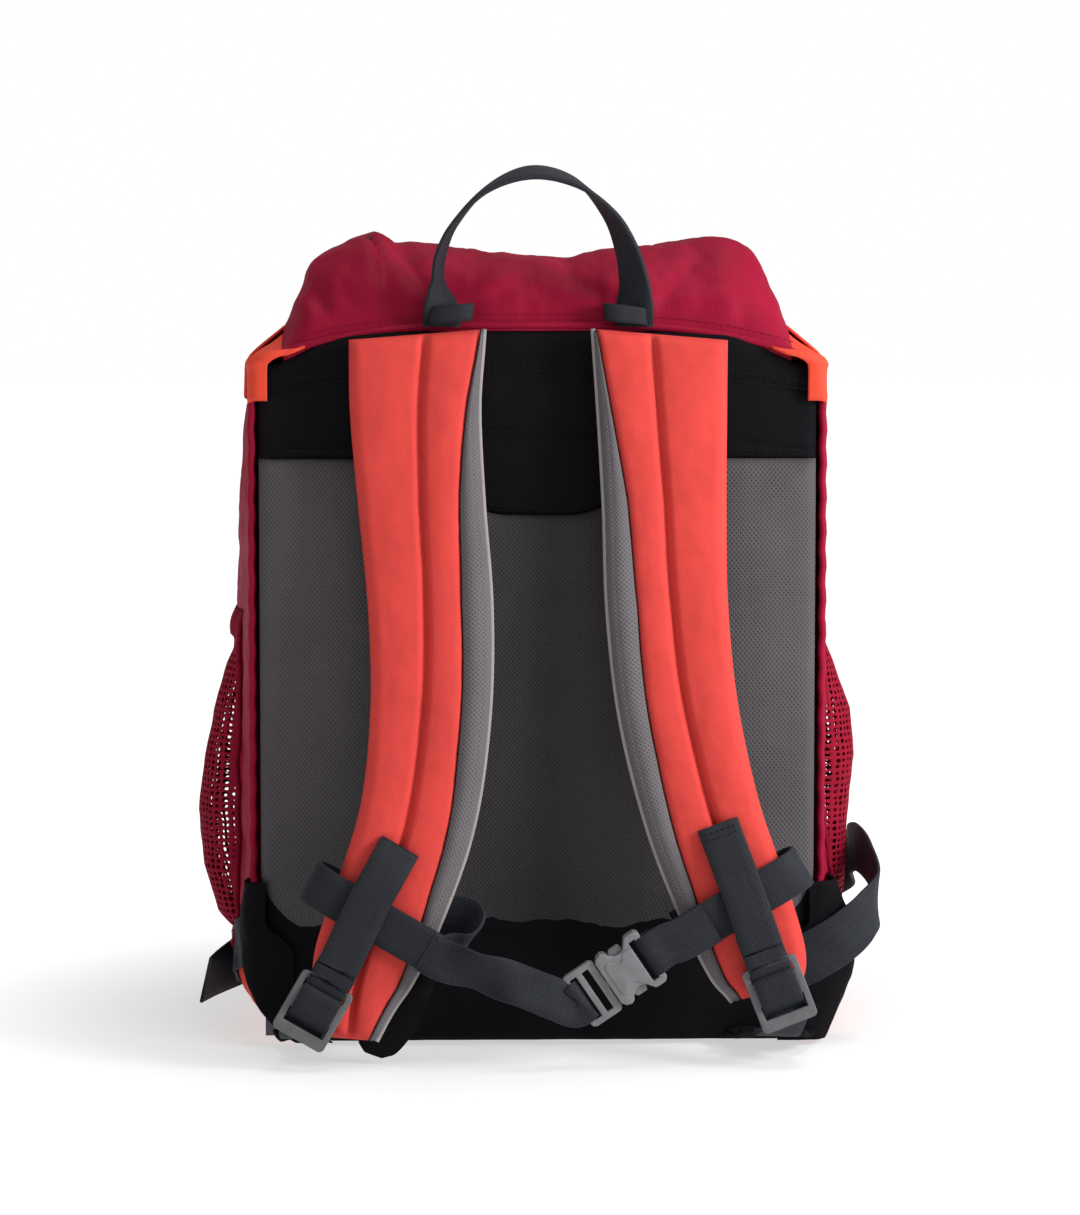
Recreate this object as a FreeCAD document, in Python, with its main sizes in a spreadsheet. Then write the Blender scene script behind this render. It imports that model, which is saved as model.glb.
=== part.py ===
import FreeCAD, Part
import math
import os

import Sketcher
from FreeCAD import Vector

# A child's daypack with a hood lid, two padded shoulder straps, a sternum strap and a waist webbing.
# Millimetres. The origin is the centre of the base where it stands, +Z is up, the back panel that
# lies against the wearer faces -Y and +X is to the right of someone who looks at that panel.

doc = FreeCAD.newDocument("Daypack")
sheet = doc.addObject("Spreadsheet::Sheet", "Dims")

SIZES = [
    # the sewn sack
    ("body_width", 274, "outside of one side panel to the other"),
    ("body_depth", 166, "back wall to front panel"),
    ("body_height", 330, "rim of the sack above the floor"),
    ("base_thick", 3, "base panel"),
    ("cloth", 2.5, "sewn and lined cloth wall"),
    ("front_round", 38, "plan radius of the front corners"),
    ("back_round", 4, "plan radius of the back corners"),
    ("band_top", 55, "top of the lower band and of the lower back panel"),
    ("seam_inset", 3, "side seam, in from the side panel's face"),
    ("collar_inset", 18, "collar, in from the sack's walls"),
    ("collar_top", 345, "top hem of the collar"),
    ("collar_low", 300, "where the collar is sewn inside the sack"),
    # the back
    ("sheet_thick", 2, "stiffening sheet"),
    ("sheet_margin", 14, "stiffening sheet, in from the sides"),
    ("skin_thick", 3, "yoke and lower back panel"),
    ("back_pad_thick", 8, "padded back panel"),
    ("back_width", 267, "padded back panel and yoke"),
    ("pad_shoulder", 283, "top corners of the padded back panel"),
    ("pad_scoop", 257, "lowest point of the panel's scooped top edge"),
    ("scoop_reach", 86, "half width of the scooped edge"),
    ("yoke_top", 344, "top of the yoke"),
    ("yoke_corner", 327, "outer top corners of the yoke"),
    # the hood lid
    ("seam_height", 346, "back seam of the lid"),
    ("seam_half", 121, "half width of the lid at its back seam"),
    ("crown_height", 384, "crown of the lid"),
    ("crown_half", 104, "half width of the crown"),
    ("hinge_back", 50, "fold line of the lid, behind the centre"),
    ("skirt_half", 140, "half width over the skirt"),
    ("skirt_break", 334, "where the skirt turns down"),
    ("skirt_low", 314, "lower edge of the side skirts"),
    ("front_skirt_low", 298, "lower edge of the front skirt"),
    ("lid_front", 88.5, "front of the lid, ahead of the centre"),
    ("crown_front", 74, "front edge of the crown"),
    ("lid_back", 85, "back seam of the lid, behind the centre"),
    ("lid_cloth", 2.5, "thickness of the lid's panels"),
    ("split", 0.6, "gap along the lid's fold line"),
    ("piping", 4, "diameter of the back seam's piping"),
    ("patch_wide", 60, "hook and loop patch"),
    ("patch_tall", 24, "hook and loop patch"),
    ("patch_thick", 1, "hook and loop patch"),
    # mesh pockets
    ("pocket_half", 50, "half length of a side pocket"),
    ("pocket_low", 42, "bottom of a side pocket"),
    ("pocket_belly", 105, "height of the pocket's fullest point"),
    ("pocket_bulge", 23, "how far the pocket stands out"),
    ("pocket_top", 196, "top of the mesh"),
    ("pocket_mouth", 11, "how far the mouth stands out"),
    ("mesh_thick", 1.6, "mesh cloth"),
    ("binding_tall", 14, "elastic binding of the mouth"),
    # webbing
    ("webbing", 20, "width of the harness webbing"),
    ("belt_webbing", 25, "width of the waist webbing"),
    ("web_thick", 1.6, "thickness of the webbing"),
    ("belt_height", 25, "middle of the waist webbing round the front"),
    ("handle_back", 82.5, "near edge of the handle's webbing, behind the centre"),
    ("handle_deep", 17, "width of the handle's webbing, which stands on edge"),
    ("handle_half", 46, "half the distance between the handle's feet"),
    ("handle_root", 354, "where the handle's feet begin, above their tabs"),
    ("handle_fold", 362, "height about which the handle folds"),
    # shoulder pads
    ("face_thick", 6.5, "padded face of a shoulder pad"),
    ("liner_thick", 5, "mesh liner of a shoulder pad"),
    ("liner_edge", 12, "liner turned round the pad's inner edge"),
    # side-release buckles, along the buckle, across it and through it
    ("male_long", 17, "webbing end of the male part"),
    ("female_long", 25, "female part"),
    ("buckle_wide", 28, "across a buckle"),
    ("buckle_thick", 9, "through the female part"),
    ("male_thick", 5, "through the male part"),
    ("prong_long", 15, "length of a prong"),
    ("prong_wide", 2.6, "width of a prong's arm"),
    ("prong_span", 9, "prong pivot, off the buckle's middle"),
    ("barb", 2.6, "how far the barb stands out from the arm"),
    ("buckle_wall", 1.6, "walls of the female part"),
    ("running", 0.4, "clearance round what slides"),
    ("slot", 3.6, "webbing slot"),
    ("bar_width", 3, "bars beside a slot"),
    # ladder locks
    ("lock_wide", 27, "across a ladder lock"),
    ("lock_long", 31, "along a ladder lock"),
    ("lock_thick", 4, "through a ladder lock"),
    ("corner", 2.5, "outer corners of the moulded parts"),
    ("soft_edge", 0.7, "rounded edges of the moulded parts"),
]

for row, (alias, value, note) in enumerate(SIZES, 1):
    sheet.set(f"A{row}", note)
    sheet.set(f"B{row}", str(value))
    sheet.setAlias(f"B{row}", alias)
doc.recompute()

ALIASES = {alias for alias, value, note in SIZES}
nodes = []


def mm(alias):
    """One of the sheet's sizes as a number."""
    return float(sheet.get(alias))


def on_sheet(text):
    """An expression whose bare size names point at the sheet."""
    words = text.replace("(", " ( ").replace(")", " ) ").split()
    return " ".join(f"Dims.{word}" if word in ALIASES else word for word in words)


def keep(label, piece):
    """Names a finished piece as a node of the model."""
    piece.Label = label
    nodes.append(piece)
    return piece


# ---- builders -------------------------------------------------------------------------------

def bind(piece, **sizes):
    """Binds properties to expressions on the sheet."""
    for prop, text in sizes.items():
        piece.setExpression(prop.replace("__", "."), on_sheet(text))
    return piece


def block(name, low, size):
    """A box from its low corner and its three sizes."""
    piece = doc.addObject("Part::Box", name)
    bind(piece, Length=size[0], Width=size[1], Height=size[2])
    return bind(piece, Placement__Base__x=low[0], Placement__Base__y=low[1], Placement__Base__z=low[2])


def tapered(name, low_x, high_x, top_half, back, front, top_back, top_front, low_z, high_z):
    """A block that narrows upwards: half widths in X, then its reach behind and ahead of the centre."""
    piece = doc.addObject("Part::Wedge", name)
    bind(piece, Xmin=low_x, Xmax=high_x, X2min=f"0 - {top_half}", X2max=top_half)
    bind(piece, Ymin=low_z, Ymax=high_z)
    bind(piece, Zmin=f"0 - {front}", Zmax=back, Z2min=f"0 - {top_front}", Z2max=top_back)
    piece.Placement = FreeCAD.Placement(Vector(0, 0, 0), FreeCAD.Rotation(Vector(1, 0, 0), 90))
    return piece


def cut(name, base, *tools):
    """The base without its tools."""
    for number, tool in enumerate(tools):
        piece = doc.addObject("Part::Cut", f"{name}_cut_{number}")
        piece.Base = base
        piece.Tool = tool
        base = piece
    return base


def common(name, first, second):
    """What two pieces share."""
    piece = doc.addObject("Part::Common", f"{name}_common")
    piece.Base = first
    piece.Tool = second
    return piece


def fuse(name, *pieces):
    """Several pieces in one."""
    piece = doc.addObject("Part::MultiFuse", f"{name}_fuse")
    piece.Shapes = list(pieces)
    return piece


def origin_plane(body, role):
    """The named plane of a body's own origin."""
    return next(item for item in body.Origin.OriginFeatures if item.Role == role)


def outline(sketch, corners):
    """A closed polygon whose corners are pairs of expressions on the sheet."""
    count = len(corners)
    turn = 2 * math.pi / count
    start = [Vector(9 * math.cos(turn * k), 9 * math.sin(turn * k), 0) for k in range(count)]
    for k in range(count):
        sketch.addGeometry(Part.LineSegment(start[k], start[(k + 1) % count]), False)
    for k in range(count):
        sketch.addConstraint(Sketcher.Constraint("Coincident", k, 2, (k + 1) % count, 1))
    for k, corner in enumerate(corners):
        for kind, start_value, text in zip(("DistanceX", "DistanceY"), (start[k].x, start[k].y), corner):
            index = sketch.addConstraint(Sketcher.Constraint(kind, -1, 1, k, 1, start_value))
            sketch.setExpression(f"Constraints[{index}]", on_sheet(text))


def sketched(name, plane, corners, length, lift="0", windows=(), rounds=()):
    """A padded outline with cut windows and rounded edges, as a body of its own.

    A round is a radius and a test that picks edges by their middle and direction.
    """
    body = doc.addObject("PartDesign::Body", name)
    sketch = attached_sketch(body, f"{name}_outline", plane, corners, lift)
    feature = body.newObject("PartDesign::Pad", f"{name}_pad")
    feature.Profile = sketch
    bind(feature, Length=length)
    for number, window in enumerate(windows):
        hole = attached_sketch(body, f"{name}_window_{number}", plane, window, lift)
        feature = body.newObject("PartDesign::Pocket", f"{name}_pocket_{number}")
        feature.Profile = hole
        feature.Reversed = True
        bind(feature, Length=length)
    doc.recompute()
    for number, (radius, test) in enumerate(rounds):
        edges = [f"Edge{k}" for k, edge in enumerate(feature.Shape.Edges, 1) if test(edge)]
        fillet = body.newObject("PartDesign::Fillet", f"{name}_round_{number}")
        fillet.Base = (feature, edges)
        bind(fillet, Radius=radius)
        doc.recompute()
        feature = fillet
    return body


def attached_sketch(body, name, plane, corners, lift):
    """A sketch on one of the body's origin planes, lifted along the plane's normal."""
    sketch = body.newObject("Sketcher::SketchObject", name)
    sketch.AttachmentSupport = [(origin_plane(body, plane), "")]
    sketch.MapMode = "FlatFace"
    bind(sketch, AttachmentOffset__Base__z=lift)
    outline(sketch, corners)
    return sketch


def rectangle(low_x, low_y, high_x, high_y):
    """The corners of an upright rectangle."""
    return [(low_x, low_y), (high_x, low_y), (high_x, high_y), (low_x, high_y)]


def middle(edge):
    """The point halfway along an edge."""
    return edge.valueAt((edge.FirstParameter + edge.LastParameter) / 2)


def upright(edge):
    """Whether an edge is straight and runs along Z."""
    return isinstance(edge.Curve, Part.Line) and abs(edge.Curve.Direction.z) > 0.99


def mitre(points, k):
    """The direction of a line of points at one of them, and how much its corner widens a section."""
    runs = [points[j + 1] - points[j] for j in (k - 1, k) if 0 <= j < len(points) - 1]
    units = [Vector(run).normalize() for run in runs]
    tangent = (units[0] + units[-1]).normalize()
    return tangent, 1 / tangent.dot(units[0])


def ribbon(name, route, thick, near=0.0, left=0.0, right=0.0):
    """A flat strap lofted along its route.

    Each stop of the route is a point, the direction across the strap and the strap's width there.
    near moves it off its middle line along its normal, left and right trim its two edges.
    """
    sections = []
    for k, (point, across, width) in enumerate(route):
        tangent, widen = mitre([stop[0] for stop in route], k)
        side = Vector(across).normalize()
        normal = tangent.cross(side).normalize() * widen
        low = point - side * (width / 2 - left) + normal * near
        high = point + side * (width / 2 - right) + normal * near
        rim = [low, high, high + normal * thick, low + normal * thick, low]
        sections.append(Part.makePolygon(rim))
    spans = [Part.makeLoft(list(pair), True, True) for pair in zip(sections, sections[1:])]
    piece = doc.addObject("Part::Feature", name)
    piece.Shape = spans[0].multiFuse(spans[1:]) if len(spans) > 1 else spans[0]
    return piece


def stops(points, across, width):
    """A route of one width and one direction across."""
    return [(Vector(*point), Vector(*across), width) for point in points]


# ---- the sack -------------------------------------------------------------------------------

def sack_form(name, shrink):
    """The sack as a block with rounded upright corners, drawn in by the given amount."""
    half = f"( body_width / 2 - {shrink} )"
    reach = f"( body_depth / 2 - {shrink} )"
    corners = rectangle(f"0 - {half}", f"0 - {reach}", half, reach)
    fronts = (f"front_round - {shrink}", lambda edge: upright(edge) and middle(edge).y > 0)
    backs = (f"back_round - {shrink} / 2", lambda edge: upright(edge) and middle(edge).y < 0)
    tall = "body_height - base_thick"
    return sketched(name, "XY_Plane", corners, tall, "base_thick", rounds=[fronts, backs])


def make_sack():
    """Base, side, front and lining panels and the lower band, cut from one wall so that they meet."""
    base = rectangle("0 - body_width / 2", "0 - body_depth / 2", "body_width / 2", "body_depth / 2")
    fronts = ("front_round", lambda edge: upright(edge) and middle(edge).y > 0)
    backs = ("back_round", lambda edge: upright(edge) and middle(edge).y < 0)
    keep("base_panel", sketched("base_panel", "XY_Plane", base, "base_thick", rounds=[fronts, backs]))

    wall = cut("sack_wall", sack_form("sack_outside", "0"), sack_form("sack_inside", "cloth"))
    over_band = ("band_top", "body_height - band_top")
    seam = "( body_width / 2 - seam_inset )"
    flank = "( body_depth / 2 - front_round )"
    back = "0 - body_depth / 2"
    zones = {
        "left_side_panel": (("0 - body_width / 2", back, over_band[0]),
                            ("seam_inset", f"body_depth / 2 + {flank}", over_band[1])),
        "right_side_panel": ((seam, back, over_band[0]),
                             ("seam_inset", f"body_depth / 2 + {flank}", over_band[1])),
        "front_panel": (("0 - body_width / 2", flank, over_band[0]),
                        ("body_width", "front_round", over_band[1])),
        "back_lining": ((f"0 - {seam}", back, "base_thick"),
                        (f"2 * {seam}", "cloth", "body_height - base_thick")),
    }
    for label, (low, size) in zones.items():
        keep(label, common(label, wall, block(f"{label}_zone", low, size)))
    below = block("band_zone", ("0 - body_width / 2", back, "base_thick"),
                  ("body_width", "body_depth", "band_top - base_thick"))
    lining = block("band_lining_zone", (f"0 - {seam}", back, "base_thick"),
                   (f"2 * {seam}", "cloth", "band_top - base_thick"))
    keep("lower_band", cut("lower_band", common("lower_band", wall, below), lining))


def make_collar():
    """The thin collar that closes the sack's mouth under the lid."""
    shrink = "( cloth + collar_inset )"
    inner = "( cloth + collar_inset + mesh_thick )"
    tall = "collar_top - collar_low"
    shells = []
    for name, inset in (("collar_outside", shrink), ("collar_inside", inner)):
        half = f"( body_width / 2 - {inset} )"
        reach = f"( body_depth / 2 - {inset} )"
        fronts = ("front_round - collar_inset - cloth", lambda edge: upright(edge) and middle(edge).y > 0)
        corners = rectangle(f"0 - {half}", f"0 - {reach}", half, reach)
        shells.append(sketched(name, "XY_Plane", corners, tall, "collar_low", rounds=[fronts]))
    keep("collar", cut("collar", *shells))


def make_back():
    """Stiffening sheet, lower back panel, padded back panel and yoke, layered on the sack's back wall."""
    half = "back_width / 2"
    behind = "body_depth / 2"
    skin = "body_depth / 2 + sheet_thick"
    sheet_half = "( body_width / 2 - sheet_margin )"
    keep("frame_sheet", sketched("frame_sheet", "XZ_Plane",
         rectangle(f"0 - {sheet_half}", "base_thick * 4", sheet_half, "yoke_corner"), "sheet_thick", behind))
    keep("lower_back_panel", sketched("lower_back_panel", "XZ_Plane",
         rectangle(f"0 - {half}", "base_thick", half, "band_top"), "skin_thick", skin))
    scoop = [("scoop_reach", "pad_shoulder"), ("scoop_reach * 0.35", "pad_scoop + 5"), ("0", "pad_scoop"),
             ("0 - scoop_reach * 0.35", "pad_scoop + 5"), ("0 - scoop_reach", "pad_shoulder")]
    pad = [(f"0 - {half}", "band_top"), (half, "band_top"), (half, "pad_shoulder")] + scoop
    pad += [(f"0 - {half}", "pad_shoulder")]
    keep("back_panel_pad", sketched("back_panel_pad", "XZ_Plane", pad, "back_pad_thick", skin))
    yoke = [(f"0 - {half}", "pad_shoulder")] + scoop[::-1] + [(half, "pad_shoulder"), (half, "yoke_corner")]
    yoke += [("seam_half * 0.75", "yoke_top"), ("0 - seam_half * 0.75", "yoke_top"),
             (f"0 - {half}", "yoke_corner")]
    keep("yoke_panel", sketched("yoke_panel", "XZ_Plane", yoke, "skin_thick", skin))


def make_pocket(side, sign):
    """A side pocket of mesh that bellies out, and the elastic binding round its mouth."""
    wall = f"{sign} * ( body_width / 2 )"
    name = f"{side}_mesh_pocket"

    def profile(thick):
        """The pocket's outline from the end, drawn in by the cloth's thickness."""
        return [
            (wall, f"pocket_low + {thick}"),
            (f"{wall} + {sign} * ( pocket_bulge * 0.55 - {thick} )", f"pocket_low + {thick}"),
            (f"{wall} + {sign} * ( pocket_bulge - {thick} )", "pocket_belly - 25"),
            (f"{wall} + {sign} * ( pocket_bulge - {thick} )", "pocket_belly + 10"),
            (f"{wall} + {sign} * ( pocket_mouth - {thick} )", "pocket_top"),
            (wall, "pocket_top"),
        ]

    outside = sketched(f"{name}_outside", "XZ_Plane", profile("0"), "2 * pocket_half", "0 - pocket_half")
    inside = sketched(f"{name}_inside", "XZ_Plane", profile("mesh_thick"),
                      "2 * ( pocket_half - mesh_thick )", "0 - pocket_half + mesh_thick")
    keep(name, cut(name, outside, inside))

    reach = "pocket_mouth"
    low = "body_width / 2" if sign > 0 else "0 - body_width / 2 - pocket_mouth"
    slim = "body_width / 2" if sign > 0 else "0 - body_width / 2 - pocket_mouth + mesh_thick"
    ring = block(f"{side}_binding_outside", (low, "0 - pocket_half", "pocket_top"),
                 (reach, "2 * pocket_half", "binding_tall"))
    hole = block(f"{side}_binding_inside", (slim, "0 - pocket_half + mesh_thick", "pocket_top"),
                 (f"{reach} - mesh_thick", "2 * ( pocket_half - mesh_thick )", "binding_tall"))
    keep(f"{side}_pocket_binding", cut(f"{side}_binding", ring, hole))


# ---- the lid --------------------------------------------------------------------------------

def hood(name, inset, back, front):
    """The lid above its break: a block that narrows from the seam's width to the crown's."""
    half = f"( seam_half - {inset} )"
    crown = f"( crown_half - {inset} )"
    return tapered(name, f"0 - {half}", half, crown, f"( {back[0]} )", f"( {front[0]} )",
                   f"( {back[1]} )", f"( {front[1]} )", "seam_height", f"crown_height - {inset}")


def make_lid_rear():
    """The rear of the lid, sewn to the sack: a slope up to the fold line, its piping and its corners."""
    fold = "hinge_back + split / 2"
    outside = hood("rear_outside", "0", ("lid_back", "hinge_back + lid_cloth"),
                   (f"0 - ( {fold} )", f"0 - ( {fold} )"))
    inside = hood("rear_inside", "lid_cloth", ("lid_back - lid_cloth", "hinge_back + 0.8"),
                  (f"0 - ( {fold} )", f"0 - ( {fold} )"))
    keep("lid_rear_panel", cut("lid_rear_panel", outside, inside))

    piping = doc.addObject("Part::Cylinder", "lid_piping")
    bind(piping, Radius="piping / 2", Height="2 * seam_half")
    bind(piping, Placement__Base__x="0 - seam_half", Placement__Base__y="0 - lid_back - piping / 2",
         Placement__Base__z="seam_height + piping / 2")
    piping.Placement.Rotation = FreeCAD.Rotation(Vector(0, 1, 0), 90)
    keep("lid_piping", piping)

    for side, sign in (("left", -1), ("right", 1)):
        corner = [(f"{sign} * skirt_half", "skirt_low"),
                  (f"{sign} * skirt_half", "skirt_break"),
                  (f"{sign} * seam_half", "seam_height"),
                  (f"{sign} * ( seam_half - lid_cloth )", "seam_height - lid_cloth"),
                  (f"{sign} * ( skirt_half - lid_cloth * 0.75 )", "skirt_break - lid_cloth"),
                  (f"{sign} * ( skirt_half - lid_cloth * 0.75 )", "skirt_low")]
        long = "lid_back - hinge_back - split / 2"
        keep(f"{side}_lid_corner", sketched(f"{side}_lid_corner", "XZ_Plane", corner, long, fold))
        long = "lid_front + hinge_back - split / 2 - lid_cloth"
        keep(f"{side}_lid_skirt", sketched(f"{side}_lid_skirt", "XZ_Plane", corner, long,
                                           "0 - lid_front + lid_cloth"))


def make_lid_front():
    """The part of the lid that opens: the hood and the skirt along its front."""
    fold = "hinge_back - split / 2"
    outside = hood("hood_outside", "0", (fold, fold), ("lid_front", "crown_front"))
    inside = hood("hood_inside", "lid_cloth", (fold, fold),
                  ("lid_front - lid_cloth", "crown_front - lid_cloth"))
    keep("lid_top_panel", cut("lid_top_panel", outside, inside))
    skirt = [("0 - skirt_half", "front_skirt_low"), ("skirt_half", "front_skirt_low"),
             ("skirt_half", "skirt_break"), ("seam_half", "seam_height"), ("0 - seam_half", "seam_height"),
             ("0 - skirt_half", "skirt_break")]
    keep("lid_front_skirt", sketched("lid_front_skirt", "XZ_Plane", skirt, "lid_cloth", "0 - lid_front"))


def make_lid_patches():
    """Hook and loop patches that hold the lid's front skirt to the front panel."""
    low_z = "front_skirt_low + 6"
    hook = block("lid_hook_patch", ("0 - patch_wide / 2", "lid_front - lid_cloth - patch_thick", low_z),
                 ("patch_wide", "patch_thick", "patch_tall"))
    keep("lid_hook_patch", hook)
    gap = "lid_front - lid_cloth - patch_thick - running - body_depth / 2"
    loop = block("front_loop_patch", ("0 - patch_wide / 2", "body_depth / 2", low_z),
                 ("patch_wide", gap, "patch_tall"))
    keep("front_loop_patch", loop)


# ---- harness --------------------------------------------------------------------------------

# Middle lines of the two shoulder pads, from the yoke down: where they lie, and the width there.
LEFT_PAD = [
    (-58, -100, 343, 62), (-59, -103, 308, 60), (-56, -108, 262, 58), (-52, -114, 214, 57),
    (-52, -120, 166, 56), (-58, -126, 118, 54), (-71, -131, 78, 52), (-85, -135, 42, 48), (-87, -138, 14, 20),
]
RIGHT_PAD = [
    (57, -100, 343, 62), (59, -103, 308, 60), (60, -108, 262, 58), (61, -114, 214, 57),
    (66, -120, 166, 56), (77, -126, 118, 54), (91, -131, 79, 52), (103, -135, 48, 46), (107, -137, 36, 36),
]


def pad_route(points):
    """A pad's stops, each with its direction across at right angles to the pad, in the XZ plane."""
    route = []
    for k, (x, y, z, width) in enumerate(points):
        before = points[max(k - 1, 0)]
        after = points[min(k + 1, len(points) - 1)]
        across = Vector(before[2] - after[2], 0, after[0] - before[0])
        route.append((Vector(x, y, z), across, width))
    return route


def make_shoulder_pad(side, points):
    """A pad in two layers: the face, and the liner that turns round the edge next to the neck."""
    route = pad_route(points)
    face = mm("face_thick")
    liner = mm("liner_thick")
    edge = mm("liner_edge")
    gap = mm("running") / 4
    left = edge if side == "right" else 0
    right = edge if side == "left" else 0
    keep(f"{side}_pad_face", ribbon(f"{side}_pad_face", route, face, gap, left, right))
    keep(f"{side}_pad_liner", ribbon(f"{side}_pad_liner", route, liner, -liner - gap))


def local_frame(point, along, toward):
    """A placement whose X is along, and whose Z is as near as can be to toward."""
    x_axis = Vector(*along).normalize()
    y_axis = Vector(*toward).cross(x_axis).normalize()
    z_axis = x_axis.cross(y_axis)
    return FreeCAD.Placement(Vector(*point), FreeCAD.Rotation(x_axis, y_axis, z_axis, "XYZ"))


def rounded_plate(name, length, width, thick, windows, start="0", drop=None):
    """A moulded plate along X, centred across, with rounded corners and webbing slots."""
    half = f"( {width} / 2 )"
    low = start
    high = f"{start} + {length}"
    plan = rectangle(low, f"0 - {half}", high, half)
    base = drop if drop else f"0 - {thick} / 2"
    rounds = [("corner", upright_corner(width))]
    return sketched(name, "XY_Plane", plan, thick, base, windows, rounds)


def upright_corner(width):
    """Picks the upright edges at a plate's outer sides."""
    half = mm(width) / 2
    return lambda edge: upright(edge) and abs(abs(middle(edge).y) - half) < 0.01


def make_ladder_lock(side, placement):
    """A ladder lock: a frame with two slots and a bar between them."""
    inner = "( lock_wide / 2 - bar_width )"
    first = rectangle("bar_width", f"0 - {inner}", "bar_width + slot", inner)
    second_low = "lock_long - bar_width * 3 - slot"
    second = rectangle(second_low, f"0 - {inner}", f"{second_low} + slot * 1.9", inner)
    lock = rounded_plate(f"{side}_ladder_lock", "lock_long", "lock_wide", "lock_thick", [first, second])
    lock.Placement = placement
    keep(f"{side}_ladder_lock", lock)


def make_buckle(prefix, placement):
    """A side-release buckle along +X: male part behind the origin, female part ahead of it."""
    inner = "( buckle_wide / 2 - bar_width )"
    slots = [rectangle(f"{step} - male_long", f"0 - {inner}", f"{step} + slot - male_long", inner)
             for step in ("bar_width", "bar_width * 2 + slot")]
    male = rounded_plate(f"{prefix}_male_frame", "male_long", "buckle_wide", "male_thick", slots, "0 - male_long")
    guide = block(f"{prefix}_guide", ("0 - 1", "0 - prong_wide / 2", "0 - male_thick / 2"),
                  ("prong_long + 1", "prong_wide", "male_thick"))
    parts = {f"{prefix}_male": fuse(f"{prefix}_male", male, guide)}

    for side, sign in (("left", 1), ("right", -1)):
        arm_in = f"{sign} * ( prong_span - prong_wide / 2 )"
        arm_out = f"{sign} * ( prong_span + prong_wide / 2 )"
        barb = f"{sign} * ( prong_span + prong_wide / 2 + barb )"
        plan = [("running", arm_in), ("prong_long", arm_in), ("prong_long", arm_out),
                ("prong_long - 1", barb), ("prong_long - 6", barb), ("prong_long - 8", arm_out),
                ("running", arm_out)]
        prong = sketched(f"{prefix}_{side}_prong", "XY_Plane", plan, "male_thick - 1",
                         "0 - male_thick / 2 + 0.5")
        parts[f"{prefix}_{side}_prong"] = prong

    channel = "( prong_span + prong_wide / 2 + barb + running )"
    deep = "( prong_long + 1 )"
    high = "( male_thick / 2 + running )"
    shell = rounded_plate(f"{prefix}_female_shell", "female_long", "buckle_wide", "buckle_thick",
                          [rectangle("female_long - bar_width - slot + running", f"0 - {inner}",
                                     "female_long - bar_width + running", inner)], "running")
    mouth = block(f"{prefix}_channel", ("0 - 1", f"0 - {channel}", f"0 - {high}"),
                  (f"{deep} + 1", f"2 * {channel}", f"2 * {high}"))
    windows = block(f"{prefix}_windows", ("5", "0 - buckle_wide", f"0 - {high}"),
                    (f"{deep} - 5", "2 * buckle_wide", f"2 * {high}"))
    parts[f"{prefix}_female"] = cut(f"{prefix}_female", shell, mouth, windows)
    doc.recompute()
    for label, piece in parts.items():
        piece.Placement = placement
        keep(label, piece)


def banded(points, thick):
    """The closed outline of a band of even thickness along an open line of points in a plane."""
    outer = []
    inner = []
    for k, (x, z) in enumerate(points):
        before = points[max(k - 1, 0)]
        after = points[min(k + 1, len(points) - 1)]
        run = math.hypot(after[0] - before[0], after[1] - before[1])
        off_x = (before[1] - after[1]) / run * thick / 2
        off_z = (after[0] - before[0]) / run * thick / 2
        outer.append((x + off_x, z + off_z))
        inner.append((x - off_x, z - off_z))
    return outer + inner[::-1]


def make_handle():
    """The grab handle, an arch of webbing on edge, and the tabs that its ends are sewn to."""
    arch = [(-46, 361), (-48, 374), (-40, 394), (-24, 412), (-3, 421), (18, 415), (34, 399), (44, 378),
            (46, 361)]
    band = [(f"{x:.2f}", f"{z:.2f}") for x, z in banded(arch, mm("web_thick"))]
    pieces = [sketched("handle_arch", "XZ_Plane", band, "handle_deep", "handle_back")]
    behind = "0 - handle_back - handle_deep / 2 - web_thick"
    for side, sign in (("left", -1), ("right", 1)):
        reach = f"{sign} * handle_half - webbing / 2"
        pieces.append(block(f"{side}_handle_root", (reach, behind, "handle_root"),
                            ("webbing", "web_thick * 2", "handle_fold - handle_root")))
        keep(f"{side}_handle_tab", block(f"{side}_handle_tab", (reach, behind, "seam_height - 3"),
                                         ("webbing", "web_thick * 2", "handle_root - seam_height + 2")))
    keep("grab_handle", fuse("grab_handle", *pieces))


# Where the straps' lower fittings lie, and the directions along them.
LEFT_LOCK = ((-99, -147.5, 42), (-0.5, -0.06, -0.86))
RIGHT_LOCK = ((106, -147.5, 50), (0.36, -0.06, -0.93))
STERNUM = ((31, -143, 40), (0.83, 0, 0.56))
STRIPS = {"left": [(-66, -136.5, 104), (-72, -143, 94), (-82, -146, 76), (-98, -147, 44)],
          "right": [(83, -136, 114), (94, -144.5, 84), (105, -147, 53)]}

# Each chest loop crosses its pad's face, turns round the outer edge and comes back behind the liner.
LOOPS = {"left": [(-48, -144, 53), (-107, -140.5, 87), (-107, -122, 87), (-48, -125, 53)],
         "right": [(66, -143.5, 61), (122, -139.5, 93), (122, -121.5, 93), (66, -124, 61)]}
OUTWARD = (0, -1, 0)


def make_strap_webbing(side):
    """The webbing sewn down a pad to its ladder lock, and the webbing from the base up to that lock."""
    points = STRIPS[side]
    run = Vector(*points[-1]) - Vector(*points[0])
    across = (-run.z, 0, run.x)
    thick = mm("web_thick")
    keep(f"{side}_sewn_webbing",
         ribbon(f"{side}_sewn_webbing", stops(points, across, mm("webbing")), thick, -thick / 2))
    loop = LOOPS[side]
    run = Vector(*loop[1]) - Vector(*loop[0])
    across = (-run.z, 0, run.x)
    keep(f"{side}_sternum_loop",
         ribbon(f"{side}_sternum_loop", stops(loop, across, mm("webbing")), thick, -thick / 2))


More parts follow.
